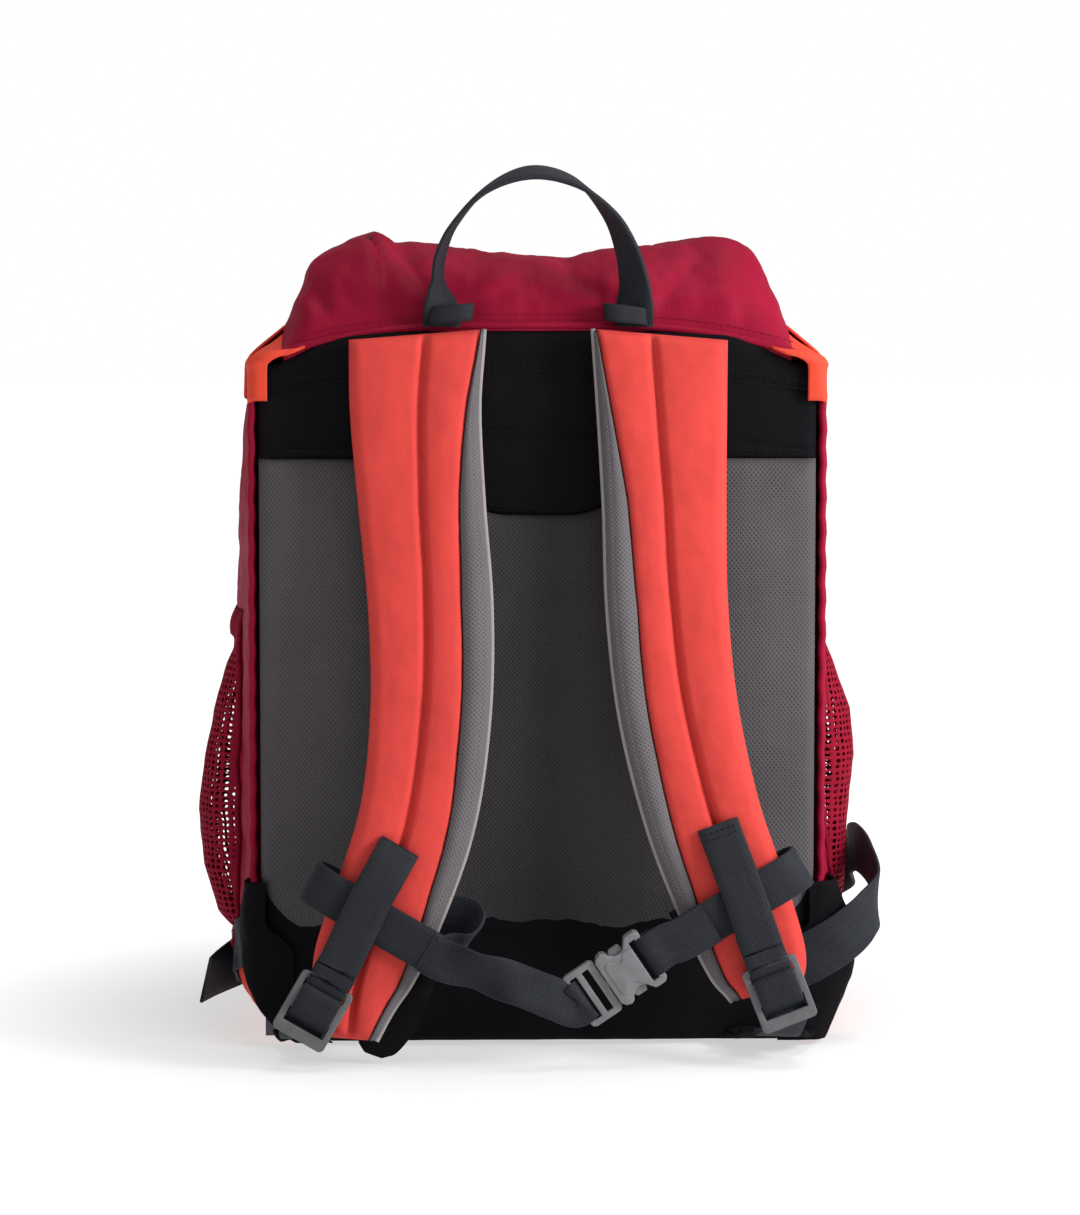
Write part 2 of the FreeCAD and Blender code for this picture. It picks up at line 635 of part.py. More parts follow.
def make_anchor(side, sign):
    """The triangular wing sewn into the base seam and the webbing that leaves its tip."""
    back = -mm("body_depth") / 2 - mm("sheet_thick") - mm("skin_thick")
    root = Vector(sign * 116, back - 0.4, 6)
    tip = Vector(sign * 112, back - 28, 12)
    route = [(root, Vector(1, 0, 0), 46), (tip, Vector(1, 0, 0), 24)]
    keep(f"{side}_anchor_wing", ribbon(f"{side}_anchor_wing", route, 2.4, -1.2))
    point, along = LEFT_LOCK if side == "left" else RIGHT_LOCK
    end = Vector(*point) + Vector(*along).normalize() * (mm("lock_long") - 9)
    start = tip + (end - tip).normalize() * 1.5
    middle_point = (start + end) / 2 + Vector(0, 0, -2)
    route = stops([start, middle_point, end + Vector(0, 3.4, 0)], (1, 0, 0), mm("webbing"))
    keep(f"{side}_lower_webbing", ribbon(f"{side}_lower_webbing", route, mm("web_thick"), -0.8))


def make_sternum_strap():
    """The strap across the chest: loops round the two pads, and webbing from each to the buckle."""
    point, along = STERNUM
    placement = local_frame(point, along, OUTWARD)
    make_buckle("sternum_buckle", placement)
    thick = mm("web_thick")
    across = placement.Rotation.multVec(Vector(0, 1, 0))
    male_end = placement.multVec(Vector(2.5 - mm("male_long"), 0, 4))
    left = [((-46, -144, 51.5), (0.35, 0, 1)), ((-32, -144, 45), (0.2, -0.1, 1)),
            ((-10, -146, 33), (-0.2, 0.1, 1)), (tuple(male_end), tuple(across))]
    route = [(Vector(*spot), Vector(*side), mm("webbing")) for spot, side in left]
    keep("left_sternum_webbing", ribbon("left_sternum_webbing", route, thick, -thick / 2))
    female_end = placement.multVec(Vector(mm("female_long") + 1.2, 0, 0))
    right = [(tuple(female_end), tuple(across)), ((64, -143.3, 60), (-0.5, 0, 0.87))]
    route = [(Vector(*spot), Vector(*side), mm("webbing")) for spot, side in right]
    keep("right_sternum_webbing", ribbon("right_sternum_webbing", route, thick, -thick / 2))


def make_belt():
    """The waist webbing, wrapped round the sack under the pockets and fastened in front."""
    side_x = mm("body_width") / 2
    front = mm("body_depth") / 2
    low = mm("belt_height")
    wide = mm("belt_webbing")
    thick = mm("web_thick")
    gap = mm("running") + thick / 2
    turn = mm("front_round")
    buckle_y = front + mm("buckle_thick") / 2 + 1
    placement = local_frame((0, buckle_y, low), (1, 0, 0), (0, 1, 0))
    make_buckle("belt_buckle", placement)

    def round_corner(sign):
        """Points round a front corner of the sack, from its side to its front."""
        centre = (side_x - turn, front - turn)
        reach = turn + gap
        angles = [math.radians(step) for step in range(0, 91, 10)]
        return [(sign * (centre[0] + reach * math.cos(angle)), centre[1] + reach * math.sin(angle), low)
                for angle in angles]

    left = [(-side_x - gap - 1, -front - 5, 56), (-side_x - gap - 2, -front + 8, 46), (-side_x - gap, -56, low)]
    left += round_corner(-1) + [(-46, front + gap + 1, low)]
    up = (0, 0, 1)
    keep("left_belt_webbing", ribbon("left_belt_webbing", stops(left, up, wide), thick, -thick / 2))
    end = [(-45, front + gap + 1, low), (-24, buckle_y + 3, low), (3 - mm("male_long"), buckle_y + 3.8, low)]
    keep("left_belt_end", ribbon("left_belt_end", stops(end, up, mm("webbing")), thick, -thick / 2))
    right = [(side_x + gap + 1, -front - 5, 50), (side_x + 17, -front - 5, 55), (side_x + 29, -front + 7, 68),
             (side_x + 27, -54, 82), (side_x + 25.5, -20, 84), (side_x + 25.5, 20, 80), (side_x + 24, 52, 68),
             (side_x + 8, 64, 55), (side_x - 9, 76, 46), (side_x - 23, 83, 38), (side_x - turn, front + gap, 32),
             (56, front + gap, low + 1), (mm("female_long") + 2.4, buckle_y, low)]
    keep("right_belt_webbing", ribbon("right_belt_webbing", stops(right, up, wide), thick, -thick / 2))
    tail = [(-side_x - 6, 5, 26), (-side_x - 11, -8, 24), (-side_x - 20, -32, 22),
            (-side_x - 24, -48, 19)]
    keep("belt_tail", ribbon("belt_tail", stops(tail, up, wide), thick, -thick / 2))


# ---- assembly -------------------------------------------------------------------------------

def check_and_export():
    """Stops on any failed object, then writes each node's solid."""
    doc.recompute()
    for item in doc.Objects:
        if "Invalid" in item.State or "Error" in item.State:
            raise RuntimeError(f"{item.Name} failed: {item.State}")
    os.makedirs("parts", exist_ok=True)
    for piece in nodes:
        shape = piece.Shape
        if shape.isNull() or not shape.isValid() or not shape.Solids:
            raise RuntimeError(f"{piece.Label} has no valid solid")
        shape.exportStep(f"parts/{piece.Label}.step")
        box = shape.BoundBox
        print(f"{piece.Label:24s} {shape.Volume / 1000:8.2f} cm3  x {box.XMin:7.1f} {box.XMax:7.1f}"
              f"  y {box.YMin:7.1f} {box.YMax:7.1f}  z {box.ZMin:7.1f} {box.ZMax:7.1f}")


make_sack()
make_collar()
make_back()
for side, sign in (("left", -1), ("right", 1)):
    make_pocket(side, sign)
    make_anchor(side, sign)
    make_strap_webbing(side)
make_lid_rear()
make_lid_front()
make_lid_patches()
make_handle()
make_shoulder_pad("left", LEFT_PAD)
make_shoulder_pad("right", RIGHT_PAD)
for side, (point, along) in (("left", LEFT_LOCK), ("right", RIGHT_LOCK)):
    make_ladder_lock(side, local_frame(point, along, OUTWARD))
make_sternum_strap()
make_belt()
check_and_export()
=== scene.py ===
import math
import random

import bmesh
import bpy
import numpy as np
from mathutils import Matrix, Vector, noise


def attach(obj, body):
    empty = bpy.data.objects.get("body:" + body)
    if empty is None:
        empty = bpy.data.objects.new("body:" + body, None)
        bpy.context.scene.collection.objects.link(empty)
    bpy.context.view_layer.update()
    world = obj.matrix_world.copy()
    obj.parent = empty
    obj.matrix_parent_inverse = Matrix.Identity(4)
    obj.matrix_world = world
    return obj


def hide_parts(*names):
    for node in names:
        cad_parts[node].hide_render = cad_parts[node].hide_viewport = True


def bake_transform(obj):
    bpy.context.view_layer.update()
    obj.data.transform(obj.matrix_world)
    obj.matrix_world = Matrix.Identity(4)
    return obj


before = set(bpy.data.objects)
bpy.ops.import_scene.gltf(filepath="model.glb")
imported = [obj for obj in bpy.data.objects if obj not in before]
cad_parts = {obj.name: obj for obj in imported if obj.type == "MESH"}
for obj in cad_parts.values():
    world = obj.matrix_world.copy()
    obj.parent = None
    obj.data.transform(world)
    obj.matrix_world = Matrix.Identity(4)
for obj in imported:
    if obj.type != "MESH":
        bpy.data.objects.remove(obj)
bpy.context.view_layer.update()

# A child's daypack seen from its harness side: soft panels, straps, fittings and materials round the
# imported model. Sizes below are in millimetres in the row's frame; metres() turns them into Blender's.

RNG = random.Random(7)
WEB = 1.7            # thickness of webbing
HARNESS = 20         # width of the harness webbing
BELT = 25            # width of the waist webbing
UP = (0, 0, 1)
OUTWARD = (0, -1, 0) # away from the pack on its harness side
SIDES = (("left", -1), ("right", 1))


def metres(points):
    """Millimetres to metres."""
    return np.asarray(points, float) * 0.001


# ---- camera, light and floor ------------------------------------------------------------------

def make_camera():
    """A long lens a little above the pack, looking at its harness side."""
    target = Vector((0.001, -0.088, 0.2125))
    distance = 1.75
    frame_height = 0.5835
    turn = math.radians(-1.6)
    rise = math.radians(4.5)
    away = Vector((math.sin(turn) * math.cos(rise), -math.cos(turn) * math.cos(rise), math.sin(rise)))
    data = bpy.data.cameras.new("camera")
    data.sensor_fit = "VERTICAL"
    data.sensor_height = 36
    data.lens = data.sensor_height * distance / frame_height
    camera = bpy.data.objects.new("camera", data)
    bpy.context.collection.objects.link(camera)
    camera.location = target + away * distance
    camera.rotation_euler = (-away).to_track_quat("-Z", "Y").to_euler()
    bpy.context.scene.camera = camera


def area_light(name, place, aim, size, power):
    """A soft square light that points at a spot."""
    data = bpy.data.lights.new(name, "AREA")
    data.size = size
    data.energy = power
    lamp = bpy.data.objects.new(name, data)
    bpy.context.collection.objects.link(lamp)
    lamp.location = place
    lamp.rotation_euler = (Vector(aim) - Vector(place)).to_track_quat("-Z", "Y").to_euler()


def make_stage():
    """A white room: pale world, a key light from the right, a top light and a floor that glows with painted
    light, least near the pack, so that painted shade rings the pack and the floor fades into white further
    off.
    """
    bpy.context.scene.view_settings.view_transform = "Standard"
    world = bpy.data.worlds.new("studio")
    bpy.context.scene.world = world
    world.use_nodes = True
    tree = world.node_tree
    seen = tree.nodes.new("ShaderNodeLightPath").outputs["Is Camera Ray"]
    strength = tree.nodes.new("ShaderNodeMapRange")
    strength.inputs["To Min"].default_value = 0.36
    strength.inputs["To Max"].default_value = 1.0
    tree.links.new(seen, strength.inputs["Value"])
    tree.links.new(strength.outputs["Result"], tree.nodes["Background"].inputs["Strength"])
    tree.nodes["Background"].inputs["Color"].default_value = (1, 1, 1, 1)
    area_light("key", (0.70, -0.47, 0.44), (0.0, -0.1, 0.22), 0.30, 7.8)
    area_light("top", (0.3, -0.2, 1.7), (0, 0, 0.2), 0.9, 14)
    bpy.ops.mesh.primitive_plane_add(size=40, location=(0, 0, -0.0004))
    floor = bpy.context.object
    floor.name = "floor"
    mat = bpy.data.materials.new("floor_white")
    mat.use_nodes = True
    shade = mat.node_tree.nodes["Principled BSDF"]
    shade.inputs["Base Color"].default_value = (0.34, 0.34, 0.343, 1)
    shade.inputs["Roughness"].default_value = 0.9
    shade.inputs["Specular IOR Level"].default_value = 0.1
    # painted light: the floor glows, weakest near the pack as painted shade round it and strongest far off,
    # where it turns white
    shade.inputs["Emission Color"].default_value = (1, 1, 1, 1)
    spot = mat.node_tree.nodes.new("ShaderNodeTexCoord")
    reach = mat.node_tree.nodes.new("ShaderNodeVectorMath")
    reach.operation = "LENGTH"
    painted_glow_fade = mat.node_tree.nodes.new("ShaderNodeMapRange")
    painted_glow_fade.interpolation_type = "SMOOTHSTEP"
    for key, value in (("From Min", 0.15), ("From Max", 0.40), ("To Min", 0.57), ("To Max", 0.92)):
        painted_glow_fade.inputs[key].default_value = value
    mat.node_tree.links.new(spot.outputs["Object"], reach.inputs[0])
    mat.node_tree.links.new(reach.outputs["Value"], painted_glow_fade.inputs["Value"])
    mat.node_tree.links.new(painted_glow_fade.outputs["Result"], shade.inputs["Emission Strength"])
    floor.data.materials.append(mat)


# ---- materials --------------------------------------------------------------------------------

class Nodes:
    """A small builder for one material's nodes."""

    def __init__(self, name, colour, rough, specular=0.35):
        self.material = bpy.data.materials.new(name)
        self.material.use_nodes = True
        self.tree = self.material.node_tree
        self.shade = self.tree.nodes["Principled BSDF"]
        self.shade.inputs["Base Color"].default_value = (*colour, 1)
        self.shade.inputs["Roughness"].default_value = rough
        self.shade.inputs["Specular IOR Level"].default_value = specular
        self.where = self.tree.nodes.new("ShaderNodeTexCoord")

    def sheen(self, weight, tint, rough=0.5):
        """A cloth's sheen."""
        self.shade.inputs["Sheen Weight"].default_value = weight
        self.shade.inputs["Sheen Roughness"].default_value = rough
        self.shade.inputs["Sheen Tint"].default_value = (*tint, 1)

    def math(self, kind, *values):
        """A Math node on sockets or numbers."""
        node = self.tree.nodes.new("ShaderNodeMath")
        node.operation = kind
        for k, value in enumerate(values):
            if isinstance(value, (int, float)):
                node.inputs[k].default_value = value
            else:
                self.tree.links.new(value, node.inputs[k])
        return node.outputs[0]

    def axes(self, source="UV"):
        """The separate axes of a coordinate set, in metres."""
        split = self.tree.nodes.new("ShaderNodeSeparateXYZ")
        self.tree.links.new(self.where.outputs[source], split.inputs[0])
        return split.outputs

    def noise(self, scale, detail=3.0, rough=0.55):
        """Noise in the object's own metres."""
        node = self.tree.nodes.new("ShaderNodeTexNoise")
        node.inputs["Scale"].default_value = scale
        node.inputs["Detail"].default_value = detail
        node.inputs["Roughness"].default_value = rough
        self.tree.links.new(self.where.outputs["Object"], node.inputs["Vector"])
        return node.outputs["Fac"]

    def wave(self, axis, pitch):
        """A sine from 0 to 1 along one axis, one wave each pitch in metres."""
        turned = self.math("MULTIPLY", axis, 2 * math.pi / pitch)
        return self.math("MULTIPLY_ADD", self.math("SINE", turned), 0.5, 0.5)

    def ramp(self, source, low, high, dark, light):
        """Two colours blended by a value."""
        node = self.tree.nodes.new("ShaderNodeMapRange")
        node.inputs["From Min"].default_value = low
        node.inputs["From Max"].default_value = high
        self.tree.links.new(source, node.inputs["Value"])
        mix = self.tree.nodes.new("ShaderNodeMix")
        mix.data_type = "RGBA"
        for key, colour in (("A", dark), ("B", light)):
            if isinstance(colour, tuple):
                mix.inputs[key].default_value = (*colour, 1)
            else:
                self.tree.links.new(colour, mix.inputs[key])
        self.tree.links.new(node.outputs["Result"], mix.inputs["Factor"])
        return mix.outputs["Result"]

    def tint(self, colour_socket):
        """Feeds the shader's colour."""
        self.tree.links.new(colour_socket, self.shade.inputs["Base Color"])

    def bump(self, heights):
        """Stacks bumps, each a height socket with its depth in metres and strength."""
        normal = None
        for height, depth, strength in heights:
            node = self.tree.nodes.new("ShaderNodeBump")
            node.inputs["Distance"].default_value = depth
            node.inputs["Strength"].default_value = strength
            self.tree.links.new(height, node.inputs["Height"])
            if normal is not None:
                self.tree.links.new(normal, node.inputs["Normal"])
            normal = node.outputs["Normal"]
        self.tree.links.new(normal, self.shade.inputs["Normal"])
        return self.material


def scaled(colour, factor):
    """A colour made lighter or darker."""
    return tuple(min(1.0, c * factor) for c in colour)


def woven(name, colour, pitch, rough=0.62, mottle_and_weave_shade=0.18, specular=0.14, ripstop=0.0):
    """Plain woven cloth: over and under threads, faint mottling with painted shade between the threads, and a
    ripstop grid if it has one.
    """
    kit = Nodes(name, colour, rough, specular)
    across, along, _ = kit.axes()
    weave = kit.math("MULTIPLY", kit.wave(across, pitch), kit.wave(along, pitch))
    heights = [(weave, 0.00012, 0.5)]
    if ripstop:
        lines = kit.math("MAXIMUM", kit.wave(across, ripstop), kit.wave(along, ripstop))
        heights.append((kit.math("POWER", lines, 24.0), 0.00010, 0.35))
    cloudy = kit.noise(38, 4)
    heights.append((kit.noise(900, 2), 0.00012, 0.35))
    # painted shade: the colour follows the weave's height, lighter on the raised crossings and darker between
    # them, on top of the random cloudy tone
    fine = kit.math("MULTIPLY_ADD", weave, 0.35, 0.5)
    shade = kit.math("ADD", kit.math("MULTIPLY", cloudy, 0.75), kit.math("MULTIPLY", fine, 0.5))
    kit.tint(kit.ramp(shade, 0.2, 0.9, scaled(colour, 1 - mottle_and_weave_shade), scaled(colour, 1 + mottle_and_weave_shade)))
    return kit.bump(heights)


def spacer_mesh(name, colour, pitch, dark, middle=None):
    """Spacer mesh: rows of small round pits, each row set over by half a pitch, with painted shade in the
    pits.

    middle, if it is given, is how dark the cloth is made between the shoulder pads, as a share of its own
    colour: painted shade where the straps shade the middle of the back.
    """
    kit = Nodes(name, colour, 0.85, 0.12)
    kit.sheen(0.06, (0.8, 0.8, 0.85))
    across, along, _ = kit.axes()
    first = kit.math("MULTIPLY", kit.wave(across, pitch), kit.wave(along, pitch * 1.2))
    over = kit.math("ADD", across, pitch / 2)
    up = kit.math("ADD", along, pitch * 0.6)
    second = kit.math("MULTIPLY", kit.wave(over, pitch), kit.wave(up, pitch * 1.2))
    pits = kit.math("MAXIMUM", first, second)
    holes = kit.math("POWER", pits, 3.0)
    cloudy = kit.noise(30, 3)
    # painted shade in the pits: the colour darkens where the pits sink, on top of the random cloudy tone
    depth = kit.math("SUBTRACT", kit.math("MULTIPLY", cloudy, 0.5), kit.math("MULTIPLY", holes, 0.6))
    low, high = scaled(colour, dark), scaled(colour, 1.15)
    # painted shade: between the shoulder pads, near x = 0, the cloth is darkened towards middle of its
    # colour, where the straps shade it
    if middle is not None:
        off = kit.math("ABSOLUTE", kit.axes("Object")[0])
        reach = kit.math("SMOOTH_MAX", kit.math("MULTIPLY_ADD", off, 11.0, 0.5), 0.02, 0.5)
        low = kit.ramp(reach, 0.5, 1.6, scaled(low, middle), low)
        high = kit.ramp(reach, 0.5, 1.6, scaled(high, middle), high)
    kit.tint(kit.ramp(depth, -0.5, 0.35, low, high))
    return kit.bump([(kit.math("SUBTRACT", 1.0, holes), 0.0005, 0.7), (kit.noise(1500, 2), 0.0001, 0.3)])


def brushed(name, colour):
    """A brushed face cloth over foam: short nap with faint cross threads."""
    kit = Nodes(name, colour, 0.8, 0.12)
    kit.sheen(0.1, scaled(colour, 1.3), 0.6)
    across, along, _ = kit.axes()
    nap = kit.noise(1400, 3)
    threads = kit.math("MULTIPLY", kit.wave(across, 0.0009), kit.wave(along, 0.0009))
    cloudy = kit.noise(26, 4)
    tone = kit.math("ADD", kit.math("MULTIPLY", cloudy, 0.7), kit.math("MULTIPLY", nap, 0.3))
    kit.tint(kit.ramp(tone, 0.25, 0.75, scaled(colour, 0.86), scaled(colour, 1.1)))
    return kit.bump([(nap, 0.00018, 0.5), (threads, 0.0001, 0.4)])


def webbing_cloth(name, colour):
    """Flat webbing: fine ribs along it, crossed by a chevron weft, with painted light and shade on the weave.
    """
    kit = Nodes(name, colour, 0.62, 0.18)
    kit.sheen(0.05, (0.45, 0.5, 0.62))
    across, along, _ = kit.axes()
    chevron = kit.math("ADD", along, kit.math("MULTIPLY", kit.wave(across, 0.0052), 0.0011))
    ribs = kit.wave(across, 0.0013)
    weft = kit.wave(chevron, 0.0011)
    weave = kit.math("MULTIPLY", ribs, weft)
    cloudy = kit.noise(60, 3)
    # painted light and shade: the colour follows the weave's height, lighter on the raised ribs and weft and
    # darker between them, on top of the random cloudy tone
    tone = kit.math("ADD", kit.math("MULTIPLY", cloudy, 0.55), kit.math("MULTIPLY", weave, 0.5))
    kit.tint(kit.ramp(tone, 0.15, 0.8, scaled(colour, 0.72), scaled(colour, 1.4)))
    return kit.bump([(weave, 0.00025, 0.8), (kit.noise(1300, 2), 0.0001, 0.3)])


def moulded(name, colour):
    """Moulded nylon: fine spark-eroded grain, faint flow marks and scuffs."""
    kit = Nodes(name, colour, 0.42, 0.45)
    scuffs = kit.noise(140, 5, rough=0.7)
    grain = kit.noise(2600, 2)
    kit.tint(kit.ramp(scuffs, 0.35, 0.75, scaled(colour, 0.85), scaled(colour, 1.2)))
    wear = kit.tree.nodes.new("ShaderNodeMapRange")
    wear.inputs["To Min"].default_value = 0.34
    wear.inputs["To Max"].default_value = 0.58
    kit.tree.links.new(scuffs, wear.inputs["Value"])
    kit.tree.links.new(wear.outputs["Result"], kit.shade.inputs["Roughness"])
    return kit.bump([(grain, 0.00006, 0.35), (scuffs, 0.0002, 0.15)])


def thread(name, colour):
    """Sewing thread: matt, with a fine uneven twist."""
    kit = Nodes(name, colour, 0.6, 0.06)
    return kit.bump([(kit.noise(2200, 2), 0.0001, 0.5)])


def pile(name, colour):
    """Hook and loop tape."""
    kit = Nodes(name, colour, 0.9, 0.2)
    tuft = kit.noise(1100, 3)
    kit.tint(kit.ramp(tuft, 0.35, 0.7, scaled(colour, 0.6), scaled(colour, 1.8)))
    return kit.bump([(tuft, 0.0008, 0.9)])


CRIMSON = (0.225, 0.0042, 0.0225)
CORAL = (0.56, 0.050, 0.042)
GREY = (0.073, 0.066, 0.070)
RECIPES = {
    "crimson_cloth": (woven, CRIMSON, 0.0008, 0.58, 0.2, 0.07, 0.006),
    "orange_cloth": (woven, (0.58, 0.050, 0.026), 0.0009, 0.65),
    "coral_face": (brushed, CORAL),
    "grey_mesh": (spacer_mesh, GREY, 0.0021, 0.55, 0.42),
    "liner_mesh": (spacer_mesh, (0.115, 0.105, 0.112), 0.0021, 0.6),
    "black_cloth": (woven, (0.0052, 0.0046, 0.0058), 0.0009, 0.8, 0.25, 0.04),
    "pocket_mesh": (woven, (0.20, 0.005, 0.019), 0.0007, 0.7, 0.18, 0.05),
    "binding": (woven, (0.17, 0.004, 0.018), 0.0011, 0.7, 0.18, 0.05),
    "edge_tape": (woven, (0.27, 0.24, 0.235), 0.0009, 0.7),
    "webbing_cloth": (webbing_cloth, (0.0125, 0.0142, 0.0185)),
    "lining_cloth": (woven, (0.09, 0.09, 0.10), 0.0008, 0.5),
    "hook_loop": (pile, (0.02, 0.02, 0.022)),
    "moulded_plastic": (moulded, (0.155, 0.153, 0.162)),
    "lock_plastic": (moulded, (0.098, 0.10, 0.105)),
    "sheet_plastic": (moulded, (0.7, 0.7, 0.67)),
    "coral_thread": (thread, (0.62, 0.05, 0.035)),
    "dark_thread": (thread, (0.0085, 0.0085, 0.010)),
    "crimson_thread": (thread, (0.20, 0.006, 0.024)),
}
MATERIALS = {name: make(name, *sizes) for name, (make, *sizes) in RECIPES.items()}


# ---- mesh builders ----------------------------------------------------------------------------

def paint(obj, material):
    """Gives an object one material in place of whatever it has."""
    obj.data.materials.clear()
    obj.data.materials.append(MATERIALS[material])


def finish_piece(obj, material, body, nodes=(), across=None):
    """Paints a piece, puts it on its body, or if across is given bakes its placement into its points instead,
    and hides the nodes that it stands for.
    """
    paint(obj, material)
    if across:
        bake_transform(obj)
    else:
        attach(obj, body)
    if nodes:
        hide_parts(*nodes)
    return obj


def linked(name, mesh):
    """A new object in the scene for a mesh, shaded smooth."""
    mesh.polygons.foreach_set("use_smooth", [True] * len(mesh.polygons))
    obj = bpy.data.objects.new(name, mesh)
    bpy.context.collection.objects.link(obj)
    return obj


def new_object(name, points, faces, uvs=None):
    """A smooth mesh object from points in millimetres; uvs has one pair in metres for each point."""
    mesh = bpy.data.meshes.new(name)
    mesh.from_pydata([tuple(p) for p in metres(points)], [], [tuple(f) for f in faces])
    mesh.validate()
    if uvs is not None:
        layer = mesh.uv_layers.new(name="UVMap")
        loops = np.array([loop.vertex_index for loop in mesh.loops])
        layer.data.foreach_set("uv", np.asarray(uvs, float)[loops].ravel())
    return linked(name, mesh)


def spread(rows):
    """Running length along each grid direction, in metres, as UVs."""
    step_u = np.linalg.norm(np.diff(rows, axis=0), axis=2).mean(axis=1)
    step_v = np.linalg.norm(np.diff(rows, axis=1), axis=2).mean(axis=0)
    u = np.concatenate([[0], np.cumsum(step_u)]) * 0.001
    v = np.concatenate([[0], np.cumsum(step_v)]) * 0.001
    return np.stack(np.meshgrid(u, v, indexing="ij"), axis=2)


def grid_faces(nu, nv, closed=False):
    """Quads of a grid whose points run v fastest; closed joins the last column to the first."""
    faces = []
    for i in range(nu - 1):
        for j in range(nv if closed else nv - 1):
            k = (j + 1) % nv
            faces.append((i * nv + j, (i + 1) * nv + j, (i + 1) * nv + k, i * nv + k))
    return faces


def ring_faces(count, around):
    """Faces of a row of closed rings, with a cap at each end."""
    caps = [tuple(range(around))[::-1], tuple((count - 1) * around + j for j in range(around))]
    return grid_faces(count, around, True) + caps


def closed_form(name, front, back, flip=False):
    """A closed piece from two grids of points, its face and its back, joined round their rims."""
    nu, nv, _ = front.shape
    total = nu * nv
    skin = grid_faces(nu, nv)
    faces = skin + [tuple(total + j for j in f[::-1]) for f in skin]
    rim = [i * nv for i in range(nu)] + [(nu - 1) * nv + j for j in range(1, nv)]
    rim += [i * nv + nv - 1 for i in range(nu - 2, -1, -1)] + list(range(nv - 2, 0, -1))
    faces += [(b, a, a + total, b + total) for a, b in zip(rim, rim[1:] + rim[:1])]
    if flip:
        faces = [f[::-1] for f in faces]
    uvs = spread(front).reshape(-1, 2)
    points = np.vstack([front.reshape(-1, 3), back.reshape(-1, 3)])
    return new_object(name, points, faces, np.vstack([uvs, uvs]))


def grid_normals(rows, flip=False):
    """Normals of a grid of points."""
    normals = unit(np.cross(np.gradient(rows, axis=0), np.gradient(rows, axis=1)))
    return -normals if flip else normals


def shell(name, rows, thick, flip=False):
    """A cloth panel: a grid of points with its thickness behind it."""
    rows = np.asarray(rows, float)
    return closed_form(name, rows, rows - grid_normals(rows, flip) * thick, flip)


def tube(name, line, radius, material, body, nodes=(), count=None, around=8):
    """A round cord of cloth along a line, such as piping."""
    rows = catmull(line, count or max(4, int(path_length(line) / 4)))
    tangent = unit(np.gradient(rows, axis=0))
    side = unit(np.cross(tangent, (0.31, 0.22, 0.93)))
    normal = np.cross(tangent, side)
    angles = np.arange(around) * 2 * math.pi / around
    rings = [row + radius * (np.cos(angles)[:, None] * s + np.sin(angles)[:, None] * n)
             for row, s, n in zip(rows, side, normal)]
    along = np.repeat(np.linspace(0, path_length(rows), len(rows)), around) * 0.001
    turn = np.tile(np.arange(around) * radius * 2 * math.pi / around, len(rows)) * 0.001
    uvs = np.stack([turn, along], axis=1)
    obj = new_object(name, np.concatenate(rings), ring_faces(len(rows), around), uvs)
    return finish_piece(obj, material, body, nodes)


def running(points):
    """The length run at each point of a line."""
    return np.concatenate([[0], np.cumsum(np.linalg.norm(np.diff(points, axis=0), axis=1))])


def catmull(stops, count):
    """A smooth curve through rows of numbers, evenly spaced along its length."""
    rows = np.asarray(stops, float)
    ends = np.vstack([2 * rows[0] - rows[1], rows, 2 * rows[-1] - rows[-2]])
    dense = []
    for k in range(len(rows) - 1):
        a, b, c, d = ends[k:k + 4]
        for t in np.linspace(0, 1, 24, endpoint=False):
            dense.append(0.5 * (2 * b + (c - a) * t + (2 * a - 5 * b + 4 * c - d) * t * t
                                + (3 * b - a - 3 * c + d) * t ** 3))
    dense = np.array(dense + [rows[-1]])
    length = running(dense[:, :3])
    even = np.linspace(0, length[-1], count)
    return np.stack([np.interp(even, length, dense[:, c]) for c in range(dense.shape[1])], axis=1)


def unit(vectors):
    """Rows made one long."""
    return vectors / np.maximum(np.linalg.norm(vectors, axis=-1, keepdims=True), 1e-9)


def sweep(name, stops, section, count):
    """A closed strip lofted through stops of x, y, z, the direction across, and the width.

    section(width) gives the ring of one place as pairs: across and along the normal.
    """
    rows = catmull(stops, count)
    place, width = rows[:, :3], rows[:, 6]
    tangent = unit(np.gradient(place, axis=0))
    side = rows[:, 3:6]
    side = unit(side - tangent * (side * tangent).sum(axis=1, keepdims=True))
    normal = np.cross(tangent, side)
    rings = []
    for k in range(count):
        ring = np.asarray(section(width[k]))
        rings.append(place[k] + ring[:, :1] * side[k] + ring[:, 1:] * normal[k])
    rings = np.array(rings)
    middle = np.asarray(section(width[count // 2]))[:, 0] * 0.001
    uvs = np.stack(np.meshgrid(running(place) * 0.001, middle, indexing="ij"), axis=2)[..., ::-1]
    return new_object(name, rings.reshape(-1, 3), ring_faces(count, rings.shape[1]), uvs.reshape(-1, 2))


def flat_section(thick, cup=0.0, across=6):
    """Webbing's cross-section, with soft edges and, if asked, cupped along its middle."""
    def section(width):
        half = width / 2
        edge = thick / 4
        xs = np.linspace(-half + 0.5, half - 0.5, across)
        bend = cup * (1 - (xs / half) ** 2)
        top = [(x, thick / 2 + b) for x, b in zip(xs, bend)]
        low = [(x, -thick / 2 + b) for x, b in zip(xs, bend)]
        return low + [(half, -edge), (half, edge)] + top[::-1] + [(-half, edge), (-half, -edge)]
    return section


def strap(name, stops, body, nodes, width=HARNESS, count=40, cup=0.0, across=None, thick=WEB):
    """A strip of webbing through stops, each a place and the direction across it."""
    rows = [(*place, *side, width) for place, side in stops]
    obj = sweep(name, rows, flat_section(thick, cup), count)
    return finish_piece(obj, "webbing_cloth", body, nodes, across)


def capsule():
    """A stitch along X, one long and one thick, as points and faces."""
    rings = [(-0.5, 0.12), (-0.32, 0.42), (0, 0.5), (0.32, 0.42), (0.5, 0.12)]
    points = [(x, r * math.cos(a), r * math.sin(a)) for x, r in rings for a in np.arange(6) * math.pi / 3]
    return np.array(points), ring_faces(len(rings), 6)


